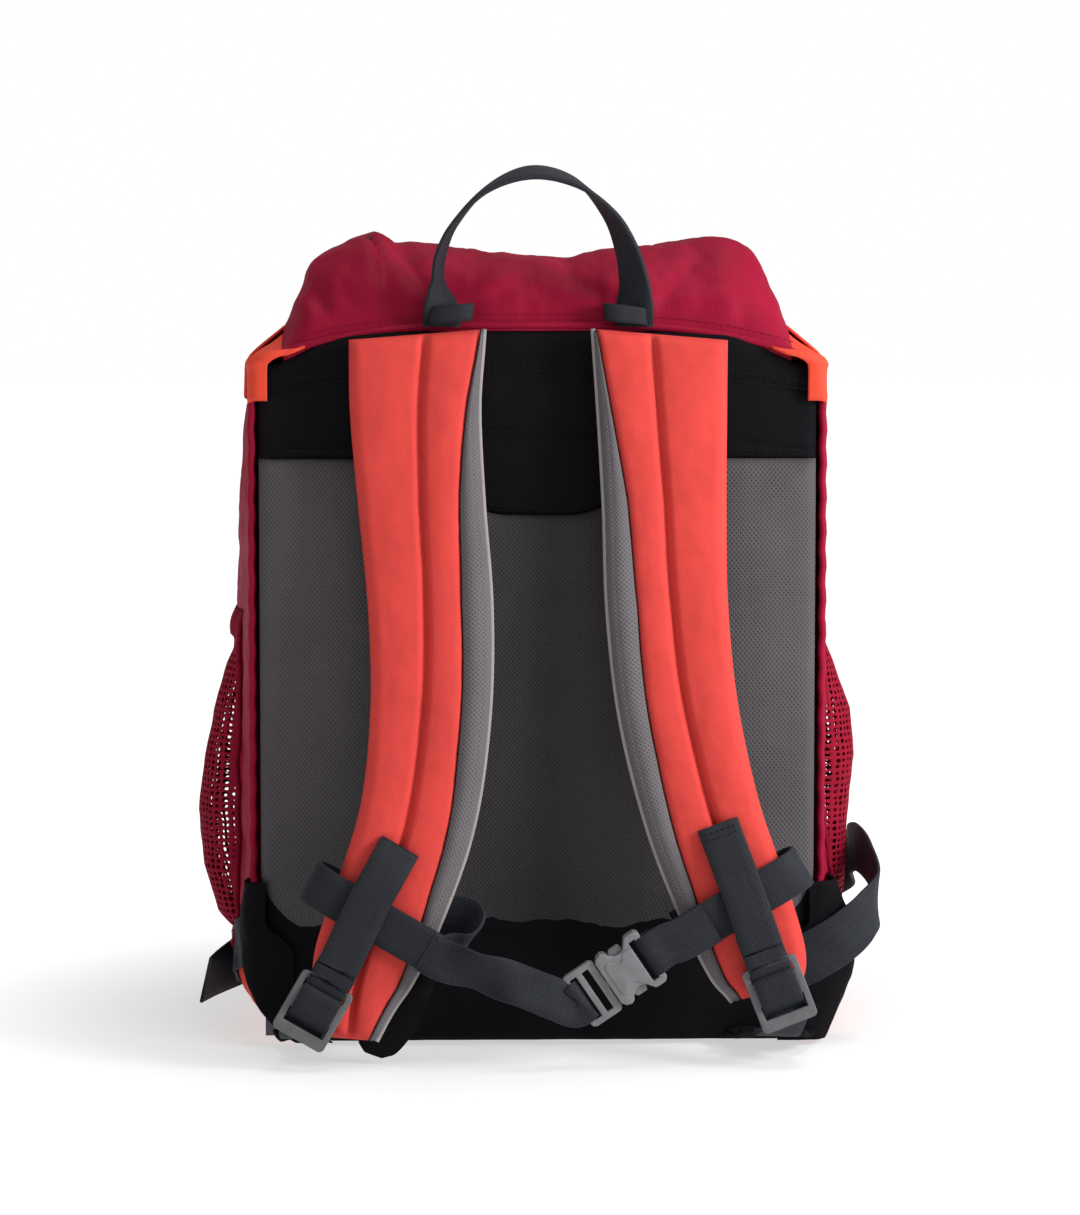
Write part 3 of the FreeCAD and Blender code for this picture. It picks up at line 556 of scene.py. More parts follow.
def stitches(name, lines, material, body, pitch=3.4, long=2.4, thick=0.6):
    """Rows of stitches along lines of points that lie on the cloth, each with the cloth's normal."""
    shape, shape_faces = capsule()
    points, faces = [], []
    for line, normal in lines:
        rows = catmull(line, max(3, int(1 + path_length(line) / pitch)))
        z_axis = unit(np.asarray(normal, float))
        for a, b in zip(rows, rows[1:]):
            x_axis = unit(b - a)
            y_axis = unit(np.cross(z_axis, x_axis))
            faces += [tuple(len(points) * len(shape) + j for j in f) for f in shape_faces]
            points.append((a + b) / 2 + shape[:, :1] * x_axis * long + shape[:, 1:2] * y_axis * thick
                          + shape[:, 2:] * z_axis * thick * 0.7)
    return finish_piece(new_object(name, np.concatenate(points), faces), material, body)


def path_length(line):
    """Length of a line of points."""
    line = np.asarray(line, float)
    return float(np.linalg.norm(np.diff(line, axis=0), axis=1).sum())


def stacked(x, y, z):
    """Points from their three coordinates, any of which may be one number."""
    return np.stack(np.broadcast_arrays(x, y, z), axis=-1)


def hills(points, scale, seed):
    """Smooth noise from -1 to 1 at points in millimetres."""
    flat = np.asarray(points, float).reshape(-1, 3) / scale
    values = [noise.fractal(Vector(p) + Vector((seed * 7.3, seed * 3.1, seed)), 0.9, 2.1, 3) for p in flat]
    return np.array(values).reshape(np.asarray(points).shape[:-1])


def smooth_step(low, high, value):
    """0 below low, 1 above high, smooth between."""
    t = np.clip((np.asarray(value, float) - low) / (high - low), 0, 1)
    return t * t * (3 - 2 * t)


def placed(point, along, toward):
    """A matrix in millimetres whose X is along and whose Z is as near as can be to toward."""
    x_axis = Vector(along).normalized()
    y_axis = Vector(toward).cross(x_axis).normalized()
    z_axis = x_axis.cross(y_axis)
    turn = Matrix((x_axis, y_axis, z_axis)).transposed().to_4x4()
    return Matrix.Translation(Vector(point)) @ turn


def rounded(work, edges, radius):
    """Rounds edges of a working form."""
    bmesh.ops.bevel(work, geom=edges, offset=radius, segments=3, affect="EDGES", profile=0.5,
                    clamp_overlap=True)


def moulding(name, work, mesh, material, body, nodes):
    """Ends a moulded piece: its working form goes into the mesh, smooth but for its sharp edges."""
    work.to_mesh(mesh)
    work.free()
    obj = linked(name, mesh)
    mesh.set_sharp_from_angle(angle=math.radians(28))
    return finish_piece(obj, material, body, nodes)


def softened(name, node, material, body, edge):
    """A moulded piece: the node's own form with its edges rounded."""
    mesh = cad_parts[node].data.copy()
    work = bmesh.new()
    work.from_mesh(mesh)
    bmesh.ops.remove_doubles(work, verts=work.verts, dist=1e-6)
    bmesh.ops.dissolve_limit(work, angle_limit=math.radians(1), verts=work.verts, edges=work.edges)
    sharp = [e for e in work.edges if len(e.link_faces) == 2 and e.calc_face_angle() > math.radians(30)]
    rounded(work, sharp, edge * 0.001)
    return moulding(name, work, mesh, material, body, (node,))


SWELL_FRAMES = 20


def puffed(obj, held, cap):
    """held says how firmly each point of its face stays, from 0 to 1; the rest of the piece stays. No point
    moves further than cap, in millimetres.
    """
    mesh = obj.data
    start = np.empty(len(mesh.vertices) * 3)
    mesh.vertices.foreach_get("co", start)
    hold = np.ones(len(mesh.vertices))
    hold[:held.size] = held.ravel()
    group = obj.vertex_groups.new(name="held")
    for level in np.unique(np.round(hold, 1)):
        group.add(np.flatnonzero(np.round(hold, 1) == level).tolist(), float(level), "REPLACE")
    cloth = obj.modifiers.new("swell", "CLOTH")
    settings = cloth.settings
    settings.quality = 4
    settings.mass = 0.3
    settings.tension_stiffness = 12
    settings.compression_stiffness = 12
    settings.bending_stiffness = 2
    settings.use_pressure = True
    settings.uniform_pressure_force = 4
    settings.vertex_group_mass = "held"
    settings.effector_weights.gravity = 0
    cloth.collision_settings.use_collision = False
    cloth.collision_settings.use_self_collision = False
    for step in range(1, SWELL_FRAMES + 1):
        bpy.context.scene.frame_set(step)
    swollen = obj.evaluated_get(bpy.context.evaluated_depsgraph_get()).data
    moved = np.empty_like(start)
    swollen.vertices.foreach_get("co", moved)
    shift = (moved - start).reshape(-1, 3)
    far = np.linalg.norm(shift, axis=1, keepdims=True)
    most = cap * 0.001
    shift = shift * (most / (most + far))
    obj.modifiers.remove(cloth)
    obj.vertex_groups.clear()
    mesh.vertices.foreach_set("co", start + shift.ravel())
    mesh.update()
    bpy.context.scene.frame_set(1)


def plate(name, outline, holes, thick, matrix, edge, body, nodes=()):
    """A moulded plate of even thickness across a fitting's plane, with holes and rounded edges."""
    work = bmesh.new()
    rims = []
    for ring in (outline, *holes):
        corners = [work.verts.new((x, y, -thick / 2)) for x, y in ring]
        rims += [work.edges.new(pair) for pair in zip(corners, corners[1:] + corners[:1])]
    bmesh.ops.triangle_fill(work, edges=rims, use_beauty=True)
    raised = bmesh.ops.extrude_face_region(work, geom=work.faces[:])["geom"]
    raised = [item for item in raised if isinstance(item, bmesh.types.BMVert)]
    bmesh.ops.translate(work, verts=raised, vec=(0, 0, thick))
    bmesh.ops.recalc_face_normals(work, faces=work.faces)
    sharp = [e for e in work.edges if e.calc_face_angle(0) > math.radians(60)
             and abs(e.verts[0].co.z - e.verts[1].co.z) < 1e-6]
    rounded(work, sharp, edge)
    bmesh.ops.transform(work, matrix=Matrix.Scale(0.001, 4) @ matrix, verts=work.verts)
    return moulding(name, work, bpy.data.meshes.new(name), "moulded_plastic", body, nodes)


# ---- the sack ---------------------------------------------------------------------------------

SIDE = 128           # straight side of the sack, from its back corner to its front corner
ROUND = 38           # plan radius of the front corners
ARC = ROUND * math.pi / 2
FRONT = 198          # straight part of the front
GIRTH = 2 * SIDE + 2 * ARC + FRONT
HALF = 137           # half width of the sack
REACH = 83           # half depth of the sack
BAND_TOP = 55        # top of the lower band
RIM = 330            # rim of the sack


def rounded_plan(half, front, corner, rear, steps):
    """A U in plan, round the front from the left side's rear end: corner angles, x, y and length run."""
    turn = np.linspace(0, math.pi / 2, steps)
    x = np.concatenate([[-half], -(half - corner) - corner * np.cos(turn),
                        (half - corner) + corner * np.sin(turn), [half]])
    y = np.concatenate([[rear], front - corner + corner * np.sin(turn),
                        front - corner + corner * np.cos(turn), [rear]])
    return turn, x, y, np.concatenate([[0], np.cumsum(np.hypot(np.diff(x), np.diff(y)))])


def perimeter(s):
    """Points and outward directions round the sack in plan, from its back left corner."""
    turn, x, y, run = rounded_plan(HALF, REACH, ROUND, -REACH, 24)
    out_x = np.concatenate([[-1], -np.cos(turn), np.sin(turn), [1]])
    out_y = np.concatenate([[0], np.sin(turn), np.cos(turn), [0]])
    run = run * GIRTH / run[-1]
    return [np.interp(s, run, values) for values in (x, y, out_x, out_y)]


def perimeter_out(s):
    """The outward direction at one distance round the sack."""
    _, _, out_x, out_y = perimeter(np.array([s]))
    return (float(out_x[0]), float(out_y[0]), 0.0)


def drawn_in(z, radius):
    """How far a foot edge of that radius is inside the wall at height z."""
    drop = np.clip((radius - z) / radius, 0, 1)
    return radius * (1 - np.sqrt(np.clip(1 - drop ** 2, 0, 1)))


def sack_points(s, z):
    """The sack's cloth at distances s round it and heights z: full sides, seams drawn in, and wrinkles."""
    x, y, out_x, out_y = perimeter(s)
    tall = np.sin(np.pi * np.clip((z + 40) / (RIM + 55), 0, 1)) ** 0.7
    left = np.sin(np.pi * np.clip(s / (SIDE + 20), 0, 1)) ** 0.8
    right = np.sin(np.pi * np.clip((GIRTH - s) / (SIDE + 20), 0, 1)) ** 0.8
    front = np.sin(np.pi * np.clip((s - SIDE) / (GIRTH - 2 * SIDE), 0, 1)) ** 0.6
    low = np.exp(-((z - 42) / 34) ** 2)
    full = tall * (11 * left + 5 * right + 8 * front) + low * (4 * left + 15 * right)
    full = full - 4 * smooth_step(295, RIM, z) * (left + right + front)
    for seam in (SIDE, GIRTH - SIDE):
        full = full - 2.2 * np.exp(-((s - seam) / 6) ** 2)
    full = full - 2.0 * np.exp(-((z - BAND_TOP) / 5) ** 2)
    folds = hills(stacked(s, z * 0.45, 0), 30, 1)
    crumple = hills(stacked(s, z, 0), 13, 2)
    pucker = np.sin(z / 2.6) * sum(np.exp(-((s - seam) / 9) ** 2) for seam in (0, SIDE, GIRTH - SIDE, GIRTH))
    edge = smooth_step(0, 14, s) * smooth_step(0, 14, GIRTH - s)
    full = full + edge * (2.6 * folds + 0.8 * crumple) + 0.35 * pucker
    corner = 15 + 17 * (1 - smooth_step(SIDE * 0.5, SIDE + 20, s))
    full = full - drawn_in(z, corner)
    return stacked(x + out_x * full, y + out_y * full, z)


def sack_grid(s_range, z_range, step=3.5):
    """A grid of the sack's cloth between two distances round it and two heights."""
    s = np.linspace(*s_range, max(4, int((s_range[1] - s_range[0]) / step)))
    z = np.linspace(*z_range, max(4, int((z_range[1] - z_range[0]) / step)))
    return sack_points(*np.meshgrid(s, z, indexing="ij"))


def make_sack():
    """The sewn panels of the sack, its lower band, base, lining, seams and topstitching."""
    panels = {"left_side_panel": (0, SIDE), "front_panel": (SIDE, GIRTH - SIDE),
              "right_side_panel": (GIRTH - SIDE, GIRTH)}
    for name, spot in panels.items():
        piece = shell(name + "_cloth", sack_grid(spot, (BAND_TOP, RIM)), 1.4, flip=True)
        finish_piece(piece, "crimson_cloth", "pack", (name,))
    band = shell("lower_band_cloth", sack_grid((0, GIRTH), (1.2, BAND_TOP), 2.5), 1.6, flip=True)
    finish_piece(band, "orange_cloth", "pack", ("lower_band",))

    lines = []
    for seam in (SIDE, GIRTH - SIDE):
        z = np.linspace(BAND_TOP, RIM, 70)
        tube(f"seam_cord_{int(seam)}", sack_points(np.full(70, seam), z), 1.3, "binding", "pack")
        for off in (-4, 4):
            lines.append((sack_points(np.full(70, seam + off), z), perimeter_out(seam + off)))
    tube("band_seam_cord", sack_points(np.linspace(0, GIRTH, 150), np.full(150, BAND_TOP)), 1.3,
         "binding", "pack")
    for seam, side in ((0.5, "left"), (GIRTH - 0.5, "right")):
        z = np.linspace(80, RIM - 8, 80)
        line = sack_points(np.full(80, seam), z)
        line[:, 1] = -REACH - 2.5
        tube(f"{side}_back_seam_cord", line, 1.8, "crimson_cloth", "pack")
    stitches("sack_topstitch", lines, "crimson_thread", "pack")

    ring = sack_points(np.linspace(0, GIRTH, 73), np.full(73, 1.2))
    rows = np.stack([ring * (k, k, 1) for k in np.linspace(1, 0.02, 14)])
    rows[..., 2] = 1.2 + 0.5 * hills(rows, 40, 3) * smooth_step(0, 30, REACH - abs(rows[..., 1]))
    rows[..., 2] = np.clip(rows[..., 2], 0.3, 2)
    finish_piece(shell("base_cloth", rows, -1.2), "black_cloth", "pack", ("base_panel",))

    x, z = np.meshgrid(np.linspace(-132, 132, 40), np.linspace(4, RIM - 4, 44), indexing="ij")
    y = -81.5 + 1.2 * hills(stacked(x, 0, z), 60, 4)
    piece = shell("back_lining_cloth", stacked(x, y, z), 1.0, flip=True)
    finish_piece(piece, "lining_cloth", "pack", ("back_lining",))


def make_fin(side, sign, flare, draw):
    """The black cloth wrapped round the foot of a back corner, where the waist webbing is sewn in.

    flare is how far it bulges outward, and draw is how closely it follows the sack's drawn in foot. The left
    one narrows towards the floor. The right one's large flare fills the bulge at the foot of the right side,
    where its black stands for the shade on that side: a dark sheet as painted shade.
    """
    stops = [0, 0.3, 0.5, 0.65, 0.8, 1]
    t, z = np.meshgrid(np.linspace(0, 1, 18), np.linspace(2.5, 80, 42), indexing="ij")
    if sign < 0:
        t = t * (0.5 + 0.5 * smooth_step(10, 78, z))
    x = np.interp(t, stops, [118, 130, 135.5, 138.5, 140, 141.5])
    y = np.interp(t, stops, [-91.6, -91.4, -89.8, -85, -76, -62])
    x = x + 13 * smooth_step(44, 62, z) * (1 - t) ** 2
    bulge = flare * np.exp(-((z - 44) / 32) ** 2) * smooth_step(0.15, 0.8, t)
    x = x - draw * drawn_in(z, 34) + bulge - 4 * smooth_step(62, 80, z) * smooth_step(0.6, 1, t)
    rows = stacked(sign * x, y, z)
    rows = rows + stacked(sign * 0.9 * hills(rows, 18, 51), 0.6 * hills(rows, 14, 52), 0)
    finish_piece(shell(f"{side}_fin_cloth", rows, 1.3, flip=sign > 0), "black_cloth", "pack")


def make_collar():
    """The thin collar inside the lid, gathered towards its mouth by its hem."""
    count = 160
    turn = np.linspace(0, 2 * math.pi, count)
    rows = []
    for t in np.linspace(0, 1, 22):
        shrink = 1 - 0.30 * smooth_step(0.35, 1, t)
        ripple = 1 + 0.030 * t * np.sin(turn * 26 + 2 * np.sin(turn * 3)) + 0.012 * t * np.sin(turn * 11)
        sharp = 4.5 - 2.0 * t
        x = np.sign(np.cos(turn)) * abs(np.cos(turn)) ** (2 / sharp) * 116 * shrink * ripple
        y = np.sign(np.sin(turn)) * abs(np.sin(turn)) ** (2 / sharp) * 62 * shrink * ripple
        z = 302 + 40 * t - 5 * smooth_step(0.7, 1, t) * (1 - t) + 1.2 * np.sin(turn * 7) * t
        rows.append(stacked(x, y, z))
    piece = shell("collar_cloth", np.array(rows), 0.7)
    finish_piece(piece, "lining_cloth", "pack", ("collar",))
    tube("collar_hem", rows[-1], 2.0, "lining_cloth", "pack", count=200)


# ---- the back ---------------------------------------------------------------------------------

PAD_HALF = 133.5     # half width of the back's panels
BACK_FACE = -84.9    # where the panels' hidden sides lie


def scoop(x):
    """The padded back panel's top edge."""
    return 257 + 27 * smooth_step(14, 88, abs(x))


def yoke_edge(x):
    """The yoke's top edge, under the lid."""
    return 345 - 17 * smooth_step(84, 134, abs(x))


def back_grid(low, high, width_at, count=(120, 100)):
    """A grid over a back panel between two edges, each a function of x."""
    u, v = np.meshgrid(np.linspace(-1, 1, count[0]), np.linspace(0, 1, count[1]), indexing="ij")
    x = u * PAD_HALF
    z = low(x) + v * (high(x) - low(x))
    return u, width_at(z) * u, z


def rounded_edge(distance, radius):
    """0 at an edge, 1 from the radius inwards, round between."""
    t = np.clip(distance / radius, 0, 1)
    return np.sqrt(np.clip(1 - (1 - t) ** 2, 0, 1))


def corner_width(z, low, radius):
    """The half width of a panel whose lower corners are rounded."""
    return PAD_HALF - drawn_in(z - low, radius)


def on_back(name, x, z, out):
    """A closed panel on the sack's back that stands out by the amounts given."""
    return closed_form(name, stacked(x, -out, z), stacked(x, BACK_FACE, z))


def make_back():
    """Lower back panel, padded back panel and yoke, with their seams and topstitching."""
    u, x, z = back_grid(lambda x: BAND_TOP + 0 * x, scoop, lambda z: corner_width(z, BAND_TOP, 30))
    rim = np.minimum.reduce([(1 - abs(u)) * PAD_HALF, z - BAND_TOP, scoop(x) - z])
    spot = stacked(x, 0, z)
    out = 86.6 + 5.6 * rounded_edge(rim, 11) + 2.6 * smooth_step(0, 80, rim)
    out = out + 1.1 * hills(spot * (1, 1, 0.5), 45, 5) * smooth_step(0, 25, rim)
    out = out + 0.35 * hills(spot, 12, 6)
    pad = on_back("back_pad_mesh", x, z, out)
    puffed(pad, 1 - smooth_step(0.5, 5, rim), 3)
    finish_piece(pad, "grey_mesh", "pack", ("back_panel_pad",))

    u, x, z = back_grid(scoop, yoke_edge, lambda z: PAD_HALF + 0 * z, (110, 50))
    rim = np.minimum.reduce([(1 - abs(u)) * PAD_HALF, z - scoop(x), yoke_edge(x) - z])
    spot = stacked(x, 0, z)
    out = 86.4 + 2.6 * rounded_edge(rim, 6) + 1.0 * smooth_step(0, 30, rim) + 0.7 * hills(spot, 26, 7)
    for row in (326, 297):
        out = out - 0.9 * np.exp(-((z - row + 0.00055 * x * x) / 1.6) ** 2)
    finish_piece(on_back("yoke_cloth", x, z, out), "black_cloth", "pack", ("yoke_panel",))

    u, x, z = back_grid(lambda x: 2.0 + 0 * x, lambda x: BAND_TOP + 38 + 0 * x, lambda z: PAD_HALF + 0 * z,
                        (110, 38))
    x = u * np.where(u < 0, corner_width(z, 0, 32), corner_width(z, 0, 15))
    rim = np.minimum((1 - abs(u)) * PAD_HALF, z - 2.0)
    spot = stacked(x, 0, z)
    out = 86.0 + 3.2 * rounded_edge(rim, 9) + 1.6 * smooth_step(0, 22, rim) + 0.9 * hills(spot, 30, 8)
    finish_piece(on_back("lower_back_cloth", x, z, out), "black_cloth", "pack", ("lower_back_panel",))

    x = np.linspace(-128, 128, 90)
    lines = [stacked(x, -90.3, 326 - 0.00055 * x * x), stacked(x, -90.3, 330 - 0.00055 * x * x),
             stacked(x, -89.9, scoop(x) + 4), stacked(np.linspace(-76, 76, 56), -90.3, 297),
             stacked(np.linspace(-118, 118, 80), -90.6, 50)]
    stitches("back_topstitch", [(line, OUTWARD) for line in lines], "dark_thread", "pack")
    paint(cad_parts["frame_sheet"], "sheet_plastic")


# ---- mesh pockets -----------------------------------------------------------------------------

POCKET_LOW, POCKET_TOP, POCKET_HALF = 42, 196, 50
POCKET_DEPTH = {-1: [(0, 11), (0.1, 21), (0.25, 28), (0.42, 30), (0.6, 27), (0.75, 22), (0.9, 15), (1, 8)],
                1: [(0, 10), (0.1, 16), (0.25, 19), (0.42, 20), (0.6, 22), (0.75, 20), (0.9, 12), (1, 5)]}


def pocket_point(sign, a, b):
    """A point of a pocket: a runs along the side from -1 to 1, b from its foot to its mouth."""
    z = POCKET_LOW + (POCKET_TOP - POCKET_LOW) * b
    y = a * POCKET_HALF
    s = y + REACH if sign < 0 else GIRTH - (y + REACH)
    wall = sack_points(s, z)
    fullness = np.interp(b, *zip(*POCKET_DEPTH[sign])) * rounded_edge(1 - abs(a), 0.5)
    spot = stacked(y, z, 0)
    fullness = fullness * rounded_edge(b, 0.1)
    fullness = fullness + 1.2 * hills(spot * (1, 0.6, 1), 22, 9 + sign) * rounded_edge(1 - abs(a), 0.3)
    wall[..., 0] = sign * np.maximum(HALF + fullness, abs(wall[..., 0]) + 0.9)
    return wall


def net(name, point, nu, nv, thick):
    """A knitted net over a surface: each cell has a round hole through it."""
    corners = 8
    turns = [math.pi / 4 * (k - 3) for k in range(corners)]
    rim = [(0, 0), (0.5, 0), (1, 0), (1, 0.5), (1, 1), (0.5, 1), (0, 1), (0, 0.5)]
    keys, places, faces = {}, [], []

    def index(u, v):
        key = (round(u, 4), round(v, 4))
        if key not in keys:
            keys[key] = len(places)
            places.append(key)
        return keys[key]

    for i in range(nu):
        for j in range(nv):
            outer = [index(i + u, j + v) for u, v in rim]
            size = 0.325 + 0.07 * RNG.uniform(-1, 1)
            u, v = 0.5 + 0.08 * RNG.uniform(-1, 1), 0.5 + 0.08 * RNG.uniform(-1, 1)
            inner = [index(i + u + size * math.cos(t), j + v + size * math.sin(t)) for t in turns]
            faces += [(outer[k], outer[(k + 1) % corners], inner[(k + 1) % corners], inner[k])
                      for k in range(corners)]
    spots = np.array(places, float)
    a = spots[:, 0] / nu * 2 - 1
    b = spots[:, 1] / nv
    front = point(a, b)
    uvs = np.stack([a * POCKET_HALF * 0.0013, b * (POCKET_TOP - POCKET_LOW) * 0.001], axis=1)
    obj = new_object(name, front, faces, uvs)
    solid = obj.modifiers.new("thickness", "SOLIDIFY")
    solid.thickness = thick * 0.001
    solid.offset = 0
    return obj


def make_pocket(side, sign):
    """A mesh side pocket, its elastic binding with gathers, and the tape down its two edges."""
    piece = net(f"{side}_pocket_net", lambda a, b: pocket_point(sign, a, b), 36, 50, 0.6)
    finish_piece(piece, "pocket_mesh", "pack", (f"{side}_mesh_pocket",))

    a, t = np.meshgrid(np.linspace(-1, 1, 120), np.linspace(0, 1, 8), indexing="ij")
    rows = pocket_point(sign, a, np.ones_like(a))
    rows[..., 2] += t * 14 - 1.5
    gather = 0.7 * np.sin(a * 52 + 2 * np.sin(a * 7)) * rounded_edge(1 - abs(a), 0.3)
    rows[..., 0] += sign * (1.0 + 1.4 * np.sin(np.pi * t) + gather * (1 - 0.5 * t) - 2.5 * t)
    binding = shell(f"{side}_binding_cloth", rows, 1.8, flip=sign < 0)
    finish_piece(binding, "binding", "pack", (f"{side}_pocket_binding",))

    b = np.linspace(0, 1, 60)
    for end, label in ((-1, "rear"), (1, "fore")):
        line = pocket_point(sign, np.full(60, end * 0.995), b)
        line[:, 0] += sign * 0.6
        tube(f"{side}_pocket_{label}_tape", line, 1.5, "binding", "pack")
    a = np.linspace(-1, 1, 60)
    line = pocket_point(sign, a, np.zeros(60))
    line[:, 0] += sign * 0.6
    tube(f"{side}_pocket_foot_tape", line, 1.5, "binding", "pack")


# ---- the hood lid -----------------------------------------------------------------------------

FOLD_BACK, FOLD_FRONT = (0, -0.078, 0.384), (0, -0.018, 0.384)
HOOD_HALF = 121.5    # half width of the hood at its seam
HOOD_SEAM = 346      # height of that seam
HOOD_BACK = -85      # where the hood starts
HOOD_FRONT = 88      # where it ends
HOOD_CORNER = 30     # plan radius of its front corners
CROWN = [(-HOOD_HALF, HOOD_SEAM), (-118, 353), (-113, 366), (-108, 377), (-98, 385.5), (-86, 390.5),
         (-79, 393), (-73, 388.5), (-66, 385.5), (-44, 384.5), (-15, 382.5), (5, 381), (24, 381.5),
         (45, 383.5), (65, 386.5), (87, 389.5), (98, 387.5), (107, 380), (113.5, 367), (118, 355),
         (HOOD_HALF, HOOD_SEAM)]


def hood_half(y):
    """How much of the hood's full width there is at a depth: its front corners are round."""
    over = np.clip(y - (HOOD_FRONT - HOOD_CORNER), 0, HOOD_CORNER)
    return HOOD_HALF - (HOOD_CORNER - np.sqrt(np.clip(HOOD_CORNER ** 2 - over ** 2, 0, None)))


def seam_drop(x, y):
    """How far the hood's lower edge droops below its level, towards its rear corners."""
    droop = 13 * (abs(x) / HOOD_HALF) ** 3 * (1 - smooth_step(HOOD_BACK, -50, y))
    return droop - 1.5 * (1 - smooth_step(HOOD_BACK, -60, y))


CREASES = [(-46, 350, -66, 384, 2.6, 4.5), (-40, 350, -8, 366, 1.8, 4), (-52, 350, -104, 362, 1.6, 5),
           (46, 350, 14, 372, 2.4, 4.5), (54, 352, 84, 384, 1.8, 5), (52, 350, 108, 356, 1.5, 4),
           (-96, 346, -112, 372, 1.8, 5), (100, 350, 92, 382, 1.6, 5)]


def creases(rows):
    """Folds of the hood's rear face that run from the handle's feet and the corners.

    Each one in CREASES goes from one x and z to another, with a height and a width.
    """
    total = np.zeros(rows.shape[:-1])
    for x0, z0, x1, z1, high, wide in CREASES:
        run = np.array([x1 - x0, z1 - z0], float)
        span = rows[..., [0, 2]] - (x0, z0)
        along = np.clip((span @ run) / (run @ run), 0, 1)
        off = span - along[..., None] * run
        side = (off @ np.array([-run[1], run[0]])) / np.linalg.norm(run)
        far = np.linalg.norm(off, axis=-1)
        trough = np.exp(-((side - 1.6 * wide) / wide) ** 2 - (far / (3 * wide)) ** 2)
        total += high * (np.exp(-(far / wide) ** 2) - 0.7 * trough) * (1 - 0.6 * along)
    return total * (1 - smooth_step(-62, -30, rows[..., 1]))


def make_hood():
    """The hood of the lid as one cloth from the back seam over the crown to the front, and its piping."""
    crown = catmull(CROWN, 150)
    u = np.linspace(-1, 1, 150)
    depths = np.concatenate([np.linspace(HOOD_BACK, -45, 34), np.linspace(-42, 60, 34),
                             np.linspace(62, HOOD_FRONT, 20)])
    rows = []
    for k, depth in enumerate(depths):
        rise = rounded_edge(np.array(depth - HOOD_BACK), 46) ** 1.1
        fall = rounded_edge(np.array(HOOD_FRONT + 0.6 - depth), 24) ** 1.1
        x = crown[:, 0] * hood_half(depth) / HOOD_HALF
        level = HOOD_SEAM - seam_drop(x, depth)
        z = level + (crown[:, 1] - HOOD_SEAM) * float(rise * fall)
        sag = 3.5 * math.exp(-((depth - 10) / 40) ** 2) * np.exp(-(x / 45) ** 2)
        if k == 0:
            rows.append(stacked(x, depth, z - 7))
        rows.append(stacked(x, depth, z - sag))
    tuck = smooth_step(0.02, 0.3, 1 - abs(u))
    rows.append(rows[-1] * (1, 1, 0) + stacked(0, 0.5 * tuck, level - 0.3 - 2.7 * tuck))
    rows = np.array(rows)
    lift = np.clip((rows[..., 2] - HOOD_SEAM) / 38, 0, 1)
    spot = rows * (1, 1, 0.8)
    normals = grid_normals(rows)
    wave = 2.4 * hills(spot, 42, 11) + 1.3 * hills(spot * (1, 0.4, 1), 18, 12) + 0.4 * hills(spot, 8, 13)
    ridge = 5.0 * np.exp(-((rows[..., 0] + 78 + 0.25 * (rows[..., 1] + 60)) / 3.6) ** 2)
    ridge = ridge * np.exp(-((rows[..., 1] + 45) / 28) ** 2)
    dents = sum(-2.6 * np.exp(-((rows[..., 0] - c) / 15) ** 2 - ((rows[..., 1] + 70) / 13) ** 2)
                for c in (-46, 46))
    rows = rows + normals * ((wave + ridge + dents + creases(rows)) * smooth_step(0, 0.35, lift))[..., None]
    hood = shell("hood_cloth", rows, 1.4)
    finish_piece(hood, "crimson_cloth", "pack", ("lid_top_panel", "lid_rear_panel"),
                 ("pack", "lid", FOLD_BACK, FOLD_FRONT))

    x = np.linspace(-123, 123, 90)
    seam = HOOD_SEAM - seam_drop(x, HOOD_BACK)
    tube("lid_seam_piping", stacked(x, -86.6, seam + 0.5), 1.9, "crimson_cloth", "pack", ("lid_piping",))
    stitches("lid_topstitch", [(stacked(x, -86.3, seam + 5.5), (0, -1, 0.3))], "crimson_thread", "pack")
    make_skirts()


def skirt_path(half, front, corner, rear, count):
    """Evenly spaced points in plan from the left side's rear end, round the front, to the right side's."""
    _, x, y, run = rounded_plan(half, front, corner, rear, 16)
    s = np.linspace(0, run[-1], count)
    return np.interp(s, run, x), np.interp(s, run, y)


def skirt_profile(t):
    """At t from the skirt's seam to its hem: how far it is out, down its slope and down its hang."""
    flare = np.interp(t, [0, 0.42, 0.52, 0.62], [0, 0.86, 0.98, 1])
    fall = np.interp(t, [0, 0.42, 0.52, 0.62], [0, 0.72, 0.92, 1])
    return flare, fall, max(0.0, (t - 0.55) / 0.45)


